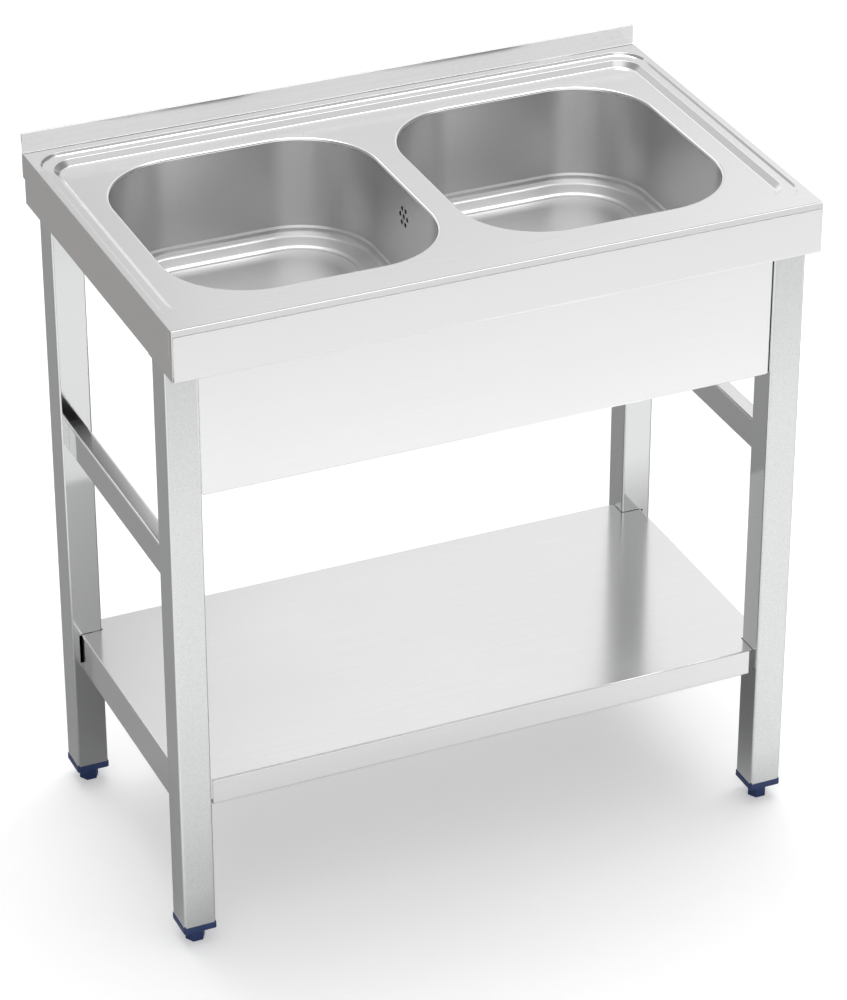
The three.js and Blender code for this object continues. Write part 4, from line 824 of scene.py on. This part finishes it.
# %% Panel
PANEL_X, PANEL_FACE, PANEL_RETURN = LEGS_SIDE - 0.5, -213.5, -187.5
PANEL_LOW, PANEL_HIGH, PANEL_FLANGE = 611.0, 829.7, 15.0
panel_plan = rounded_line([
    (-PANEL_X, PANEL_RETURN), (-PANEL_X, PANEL_FACE), (PANEL_X, PANEL_FACE), (PANEL_X, PANEL_RETURN),
], BEND)
fold_x = PANEL_X - BEND - 0.5
fold_ends = [(-fold_x, PANEL_FACE), (fold_x, PANEL_FACE)]
panel_plan = np.insert(panel_plan, len(panel_plan) // 2, fold_ends, axis=0)
panel_wall = swept(panel_plan, "z", [PANEL_LOW + BEND, PANEL_HIGH])
panel_line = [
    (PANEL_FACE, PANEL_LOW + 9), (PANEL_FACE, PANEL_LOW), (PANEL_FACE + PANEL_FLANGE, PANEL_LOW),
]
panel_fold = swept(rounded_line(panel_line, BEND)[1:], "x", [-fold_x, fold_x])
panel = new_object("front_panel_sheet", [panel_wall, panel_fold])
finish(panel, panel_painted_light_steel, "frame", ["front_panel"], gauge=SHEET, edge=0.2)


# %% [markdown]
# ## Bottom shelf
# The shelf is one sheet with its corners notched round the legs. Its front, back and sides are folded
# down, and the folds in front and behind turn in again below, so that no sharp edge meets the hand.

# %% Shelf
SHELF_TOP = 223.0
SHELF_FRONT, SHELF_BACK, SHELF_SIDE = -207.0, 186.0, 385.5
FRONT_DROP, FRONT_RETURN, SIDE_DROP = 34.0, 10.0, 50.0
inner, strip = LEGS_SIDE - 1, LEGS_SIDE - 5
notch_front, notch_back = LEGS_FRONT + 1, LEGS_REAR - 1
flat_side, flat_front, flat_back = SHELF_SIDE - BEND, SHELF_FRONT + BEND, SHELF_BACK - BEND
right_half = [
    (strip, flat_front), (inner, flat_front), (inner, notch_front), (flat_side, notch_front),
    (flat_side, notch_back), (inner, notch_back), (inner, flat_back), (strip, flat_back),
]
shelf_flat = right_half + [(-x, y) for x, y in reversed(right_half)]
front_edge = [
    (flat_front + 9, SHELF_TOP), (SHELF_FRONT, SHELF_TOP), (SHELF_FRONT, SHELF_TOP - FRONT_DROP),
    (SHELF_FRONT + FRONT_RETURN, SHELF_TOP - FRONT_DROP),
]
front_fold = rounded_line(front_edge, BEND)[1:]
back_fold = front_fold * [-1, 1] + [SHELF_FRONT + SHELF_BACK, 0]
side_edge = [(-flat_side + 9, SHELF_TOP), (-SHELF_SIDE, SHELF_TOP), (-SHELF_SIDE, SHELF_TOP - SIDE_DROP)]
shelf_side = rounded_line(side_edge, BEND)[1:]
left_fold = flipped(swept(shelf_side, "y", [notch_front, notch_back]))
shelf = new_object("shelf_sheet", [
    polygon(shelf_flat, "z", SHELF_TOP, 1),
    swept(front_fold, "x", [-strip, strip]),
    flipped(swept(back_fold, "x", [-strip, strip])),
    left_fold, mirrored(left_fold),
])
finish(shelf, shelf_steel, "frame", ["shelf"], gauge=SHEET, edge=0.2)

# %% Crossbar behind the bowls
CROSSBAR_TOP, CROSSBAR_FOOT, CROSSBAR_FRONT, CROSSBAR_BACK = 790.0, 730.0, 186.0, 200.0
channel = [
    (CROSSBAR_BACK, CROSSBAR_TOP), (CROSSBAR_FRONT, CROSSBAR_TOP),
    (CROSSBAR_FRONT, CROSSBAR_FOOT), (CROSSBAR_BACK, CROSSBAR_FOOT),
]
between_legs = np.linspace(-LEGS_SIDE + SEAM, LEGS_SIDE - SEAM, 9)
crossbar = new_object("rear_crossbar_channel", [folded(channel, "x", between_legs)])
finish(crossbar, panel_painted_light_steel, "frame", ["rear_crossbar"], gauge=SHEET, edge=0.2)


# %% [markdown]
# ## Caps, feet and studs
# Each leg is closed by a moulded cap with a plug, and a hexagonal foot hangs under it on an M10 stud.
# The thread is a real helix: its radius rises and falls once every 1.5 mm of height and once per
# turn, which is the formula of a screw.

# %% Caps
FOOT_TOP, CAP_LOW, CAP_HIGH, PLUG_HIGH = 20.0, 20.3, 28.4, 60.4
CAP, CAP_CORNER, PLUG, PLUG_CORNER = 41.6, 3.0, 36.4, 2.0
STUD_LOW, STUD_HIGH, STUD_RADIUS = 6.0, 68.0, 5.0
bore = round_section(STUD_RADIUS + SEAM)


def stacked(rings):
    """Pairs of a section and its height, joined as a surface with flat ends."""
    rows = np.array([level(section, z) for section, z in rings])
    return [grid(rows, close_columns=True), flipped(flat_face(rows[0])), flat_face(rows[-1])]


def softened(low, high, radius, steps=4):
    """Pairs of a shrinkage and a height up a bar whose two end edges are quarter circles: radius x
    (1 - sine) inwards at radius x (1 - cosine) from the end."""
    turn = np.linspace(0, np.pi / 2, steps + 1)
    inwards = radius * (1 - np.sin(turn))
    rise = radius * (1 - np.cos(turn))
    return list(zip(inwards, low + rise)) + list(zip(inwards[::-1], high - rise[::-1]))


def square_rings(width, corner, low, high, radius):
    """Rings of a rounded square bar with softened ends."""
    pairs = softened(low, high, radius)
    return [(rectangle(width - 2 * i, width - 2 * i, corner - i), z) for i, z in pairs]


plate = square_rings(CAP, CAP_CORNER, CAP_LOW, CAP_HIGH, 0.9)
plug = square_rings(PLUG, PLUG_CORNER, CAP_HIGH, PLUG_HIGH, 0.8)
cap_parts = stacked(plate + plug[len(plug) // 2:])  # the plug narrows from the plate to its own upper edge
for word, x, y in CORNERS:
    cap = outwards(new_object(f"leg_cap_{word}_moulding", moved(cap_parts, x, y)))
    cut_with(cap, moved(solid_bar(bore, "z", 0, 90), x, y))
    finish(cap, navy_plastic, "frame", [f"leg_cap_{word}"], sharp=35)


# %% Feet
HEXAGON, HEXAGON_CORNER = 12.4, 1.1


def hexagon(shrink):
    """A hexagon with rounded corners, shrunk by a distance on every side."""
    corners = round_section(HEXAGON - shrink / np.cos(np.pi / 6), 6)
    return rounded_line(corners, HEXAGON_CORNER - 0.5 * shrink, steps=5, closed=True)


foot_parts = stacked([(hexagon(i), z) for i, z in softened(0.0, FOOT_TOP, 0.9)])
for word, x, y in CORNERS:
    foot = outwards(new_object(f"foot_{word}_moulding", moved(foot_parts, x, y)))
    cut_with(foot, moved(solid_bar(bore, "z", STUD_LOW - SEAM, 40), x, y))
    finish(foot, navy_plastic, f"foot_{word}", [f"foot_{word}"], sharp=35)


# %% Threaded studs
PITCH, THREAD_DEPTH = 1.5, 0.62
THREAD_ROWS, THREAD_COLUMNS = 497, 32


def round_axis(radius, height, turn):
    """Points at some radius and height round the upright axis."""
    return np.stack([radius * np.cos(turn), radius * np.sin(turn), height + 0 * turn], -1)


def threaded():
    """Radius = outer radius less the depth times a triangle wave of (height / pitch - angle / full turn);
    both ends are narrowed by up to a millimetre over their last millimetre."""
    z = np.linspace(STUD_LOW, STUD_HIGH, THREAD_ROWS)[:, None]
    turn = np.linspace(0, 2 * np.pi, THREAD_COLUMNS, endpoint=False)[None, :]
    phase = (z / PITCH - turn / (2 * np.pi)) % 1.0
    radius = STUD_RADIUS - THREAD_DEPTH * (1 - np.abs(2 * phase - 1))
    ends = np.clip(np.minimum(z - STUD_LOW, STUD_HIGH - z), 0, 1)
    rows = round_axis(np.minimum(radius, STUD_RADIUS - 1 + ends), z, turn)
    return [grid(rows, close_columns=True), flipped(flat_face(rows[0])), flat_face(rows[-1])]


for word, x, y in CORNERS:
    stud = new_object(f"foot_stud_{word}_thread", moved(threaded(), x, y))
    finish(stud, thread_steel, f"stud_{word}", [f"foot_stud_{word}"], sharp=60)


# %% [markdown]
# ## Wastes and strainers
# A stainless waste sits in each bowl's recess with its flange clamped by a nut from below. The basket
# strainer hangs in it by its rim. All are turned shapes: a profile of radius and height carried round
# the waste's axis, with its corners rounded as pressed and spun sheet has them.

# %% Turned shapes
def turned(profile, radii, steps=96):
    """A closed profile of (radius, height) with rounded corners, carried round the upright axis."""
    line = rounded_line(profile, radii, steps=4, closed=True)
    turn = np.linspace(0, 2 * np.pi, steps, endpoint=False)[None, :]
    return grid(round_axis(line[:, :1], line[:, 1:], turn), close_rows=True, close_columns=True)


def stub_pipe(radius, hole, low, high, steps=40):
    """A short pipe round the X axis."""
    circle = round_section(1, steps)
    ends = ((radius, low), (radius, high), (hole, high), (hole, low))
    rows = [place_section(size * circle, "x", at) for size, at in ends]
    return grid(rows, close_rows=True, close_columns=True)


def lug(k):
    """A grip on the nut's collar, turned by k sixths: (x, y) goes to (x cos - y sin, x sin + y cos)."""
    across = np.array([(49.5, -3), (53.7, -3), (53.7, 3), (49.5, 3)])
    cosine, sine = np.cos(k * np.pi / 3), np.sin(k * np.pi / 3)
    return solid_bar(across @ np.array([[cosine, sine], [-sine, cosine]]), "z", -11.8, -5.0)


# %% Wastes
NECK, CUP, TAIL, WASTE_WALL = 44.7, 38.0, 20.0, 2.5
NECK_FOOT, CUP_FOOT, TAIL_FOOT = -23.2, -46.2, -82.2
waste_profile = [
    (56.5, 0.3), (NECK, 0.3), (NECK, NECK_FOOT), (CUP, NECK_FOOT - 3), (CUP, CUP_FOOT),
    (TAIL, CUP_FOOT - 4), (TAIL, TAIL_FOOT), (TAIL - WASTE_WALL, TAIL_FOOT),
    (TAIL - WASTE_WALL, CUP_FOOT - 1.5), (CUP - WASTE_WALL, CUP_FOOT + WASTE_WALL),
    (CUP - WASTE_WALL, NECK_FOOT - 2), (NECK - WASTE_WALL, NECK_FOOT + 1), (NECK - WASTE_WALL, 1.2),
    (NECK, 2.7), (55.0, 2.7),
]
nut_profile = [(45, -3.8), (54, -3.8), (54, -6.3), (50, -6.3), (50, -11.8), (45, -11.8)]
waste_shape = turned(waste_profile, 0.5)
nut_parts = [turned(nut_profile, 0.5)] + [part for k in range(6) for part in lug(k)]
STUB, STUB_HOLE, STUB_FROM, STUB_TO = 7.0, 5.5, 35.8, 54.0
stub = stub_pipe(STUB, STUB_HOLE, STUB_FROM, STUB_TO)
for word, side in SIDES:
    at = (-side * BOWL_X, BOWL_Y, WASTE_SEAT)
    inwards = stub if side < 0 else mirrored(stub)
    stub_part = moved([inwards], 0, OVERFLOW_Y - BOWL_Y, (NECK_FOOT + CUP_FOOT) / 2)
    parts = moved([waste_shape] + stub_part, *at)
    waste = outwards(new_object(f"waste_body_{word}_spun", parts))
    finish(waste, fitting_steel, "frame", [f"waste_body_{word}"], sharp=50)
    nut = outwards(new_object(f"waste_back_nut_{word}_moulding", moved(nut_parts, *at)))
    finish(nut, grey_plastic, "frame", [f"waste_back_nut_{word}"], sharp=50)

# %% Strainers
BASKET_RIM, BASKET_FLOOR, BASKET_FOOT, KNOB_TOP = 0.7, -25.3, 30.9, -5.3
basket_profile = [
    (0.5, BASKET_FLOOR), (BASKET_FOOT, BASKET_FLOOR), (39.6, BASKET_RIM - 2), (41.6, BASKET_RIM - 1),
    (41.6, BASKET_RIM), (38.6, BASKET_RIM), (BASKET_FOOT - 1, BASKET_FLOOR + 1), (2.5, BASKET_FLOOR + 1),
    (2.5, KNOB_TOP - 3), (7, KNOB_TOP - 2), (7, KNOB_TOP), (0.5, KNOB_TOP),
]
basket_shape = turned(basket_profile, 0.35)
punch = solid_bar(round_section(2.6), "z", BASKET_FLOOR - 4, BASKET_FLOOR + 3)
punches = []
for k, (x, y) in enumerate(round_section(BASKET_FOOT, 12)):
    share = 0.8 if k % 2 else 0.5
    punches += moved(punch, share * x, share * y)
for word, side in SIDES:
    at = (-side * BOWL_X, BOWL_Y, WASTE_SEAT)
    basket = outwards(new_object(f"strainer_{word}_basket", moved([basket_shape], *at)))
    cut_with(basket, moved(punches, *at))
    finish(basket, fitting_steel, f"strainer_{word}", [f"strainer_{word}"], sharp=40)


# %% [markdown]
# ## Pieces whose exact solids are already right
# Gussets, bearers, the stiffener, screws, seals and the overflow parts have the right shape in the
# frame. They keep it and only get their finish, chosen by what they are made of.

# %% Finishes of the kept pieces
KEPT = {
    "gusset": side_painted_shade_steel, "shelf_bearer": rail_steel, "shelf_stiffener": panel_painted_light_steel,
    "top_stud": thread_steel, "panel_screw": thread_steel, "overflow_cover": grey_plastic,
    "overflow_pipe": grey_plastic, "overflow_seal": black_rubber, "waste_washer": black_rubber,
}
kept_count = 0
for name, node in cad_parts.items():
    for start, material in KEPT.items():
        if name.startswith(start):
            node.data.materials.clear()
            node.data.materials.append(material)
            kept_count += 1
print("kept pieces:", kept_count)


# %% [markdown]
# ## Studio
# Satin steel shows what stands round it, so the light is a room more than a set of lamps. The room is
# bright all round. It is dark at the left and at the right; behind stand a grey wall, a window and a
# dark gap, and in front, above the camera, a grey and a dark wall give the bowls their depth. Three
# lamps hang above. The room is a function of direction: each patch is the dot product of the view
# direction with the patch's middle, eased from its rim to its core, and covers the ones before it.

# %% The room as a function of direction
scene = bpy.context.scene
world = bpy.data.worlds.new("studio")
scene.world = world
sky = empty_tree(world)


def patch(direction, core, rim):
    """1 inside the core angle round a direction, 0 outside the rim angle, eased between (degrees)."""
    dot = new_node(sky, "VectorMath")
    dot.operation = "DOT_PRODUCT"
    view = new_node(sky, "TexCoord").outputs["Generated"]
    fill(sky, dot, {0: view, 1: Vector(direction).normalized()})
    ease = new_node(sky, "MapRange")
    ease.interpolation_type = "SMOOTHSTEP"
    outside, inside = np.cos(np.radians([rim, core]))
    fill(sky, ease, {"Value": dot.outputs["Value"], "From Min": outside, "From Max": inside})
    return ease.outputs["Result"]


ROOM = [
    ("dark side on the left", (-0.9, 0.25, 0.4), 25, 60, 0.35),
    ("dark side on the right", (0.95, -0.05, 0.35), 20, 50, 0.3),
    ("grey wall behind", (0.34, 0.86, 0.36), 3, 10, 0.78),
    ("window behind", (-0.08, 0.82, 0.57), 3, 9, 1.8),
    ("dark gap behind", (0.235, 0.835, 0.495), 1.5, 4.5, 0.25),
    ("grey wall in front", (0.353, -0.50, 0.79), 10, 20, 0.72),
    ("dark wall in front", (0.312, -0.70, 0.643), 9, 14, 0.40),
    ("lamp above, behind", (0.03, 0.40, 0.91), 7, 16, 3.6),
    ("lamp above the middle", (0.35, 0.12, 0.93), 7, 15, 4.6),
    ("lamp above, on the left", (0.0, 0.20, 0.98), 7, 15, 3.6),
]
brightness = 1.05
for label, direction, core, rim, value in ROOM:
    brightness = mixed(sky, patch(direction, core, rim), brightness, value, "FLOAT")
    print(f"{label}: {value} within {rim} degrees")

# %% White behind the object
camera_ray = new_node(sky, "LightPath").outputs["Is Camera Ray"]
room = new_node(sky, "Background", {"Color": brightness}).outputs["Background"]
white = new_node(sky, "Background", {"Color": (1, 1, 1, 1)}).outputs["Background"]
both = new_node(sky, "MixShader", {"Fac": camera_ray, 1: room, 2: white})
new_node(sky, "OutputWorld", {"Surface": both.outputs["Shader"]})
print("patches of light:", len(ROOM))

# %% [markdown]
# ## Floor
# The floor is a pale sheet that keeps the object's soft shadow. Seen by the camera it is lifted to
# white where nothing shades it. In the steel it shows painted light and shade by the distance from
# front to back: painted light in front of the unit that dims further in front, and painted shade under the
# unit and behind it.

# %% Floor
REACH = 14.0
MATT_TONE = 0.82  # for all rays but the mirrored ones
CAMERA_LIFT = 0.30
# painted light and shade that only the steel's reflections see, as (metres from front to back, grey): light
# in front of the unit, shade under it and behind it
MIRRORED_LIGHT_AND_SHADE = [
    (-2.2, 0.72), (-1.6, 0.80), (-1.15, 0.98), (-0.7, 1.0), (-0.32, 1.0), (-0.12, 0.50), (0.3, 0.35),
    (1.0, 0.35),
]
floor_mesh = bpy.data.meshes.new("floor")
corners = [(-REACH, -REACH, 0), (REACH, -REACH, 0), (REACH, REACH, 0), (-REACH, REACH, 0)]
floor_mesh.from_pydata(corners, [], [(0, 1, 2, 3)])
floor = bpy.data.objects.new("floor", floor_mesh)
scene.collection.objects.link(floor)
floor_material = bpy.data.materials.new("pale_floor")
ground = empty_tree(floor_material)
where = new_node(ground, "TexCoord").outputs["Object"]
split = new_node(ground, "SeparateXYZ", {"Vector": where})
first_y, last_y = MIRRORED_LIGHT_AND_SHADE[0][0], MIRRORED_LIGHT_AND_SHADE[-1][0]
along = remap(ground, split.outputs["Y"], 0, 1, first_y, last_y)
# the ramp of painted light and shade along the floor, seen only by mirrored rays
falls = new_node(ground, "ValToRGB", {"Fac": along})
ramp = falls.color_ramp
while len(ramp.elements) < len(MIRRORED_LIGHT_AND_SHADE):
    ramp.elements.new(0.5)
for stop, (y, shade) in zip(ramp.elements, MIRRORED_LIGHT_AND_SHADE):
    stop.position = (y - first_y) / (last_y - first_y)
    stop.color = (shade, shade, shade, 1)
rays = new_node(ground, "LightPath").outputs
tone = mixed(ground, rays["Is Glossy Ray"], MATT_TONE, falls.outputs["Color"], "FLOAT")
lift = mixed(ground, rays["Is Camera Ray"], 0.0, CAMERA_LIFT, "FLOAT")
diffuse = new_node(ground, "BsdfDiffuse", {"Color": tone}).outputs["BSDF"]
glow = new_node(ground, "Emission", {"Strength": lift}).outputs["Emission"]
total = new_node(ground, "AddShader", {0: diffuse, 1: glow})
new_node(ground, "OutputMaterial", {"Surface": total.outputs["Shader"]})
floor_mesh.materials.append(floor_material)
print("shades of the floor in the steel:", len(MIRRORED_LIGHT_AND_SHADE))


# %% [markdown]
# ## Camera
# The photograph was taken from in front, a little to the left and from above, with a long lens. The
# camera is placed by its position and three angles, and the slight shift stands for the cropping.

# %% Camera
CAMERA_AT = Vector((-1.7100, -3.9206, 2.8785))
TURN, DOWN, ROLL = -0.421, 0.526, 0.003
FOCAL_LENGTH, SENSOR = 146.1, 36
SHIFT_X, SHIFT_Y = -0.0292, 0.0105
forward = Vector((-np.sin(TURN) * np.cos(DOWN), np.cos(TURN) * np.cos(DOWN), -np.sin(DOWN)))
level_right = forward.cross(Vector((0, 0, 1))).normalized()
level_up = level_right.cross(forward)
right = level_right * np.cos(ROLL) + level_up * np.sin(ROLL)
up = level_up * np.cos(ROLL) - level_right * np.sin(ROLL)
lens = bpy.data.cameras.new("camera")
lens.lens = FOCAL_LENGTH
lens.sensor_width = SENSOR
lens.shift_x, lens.shift_y = SHIFT_X, SHIFT_Y
camera = bpy.data.objects.new("camera", lens)
scene.collection.objects.link(camera)
camera.matrix_world = Matrix((
    (right.x, up.x, -forward.x, CAMERA_AT.x),
    (right.y, up.y, -forward.y, CAMERA_AT.y),
    (right.z, up.z, -forward.z, CAMERA_AT.z),
    (0, 0, 0, 1),
))
scene.camera = camera
scene.view_settings.view_transform = "Standard"
print("camera:", [round(v, 3) for v in camera.location], "lens", lens.lens)
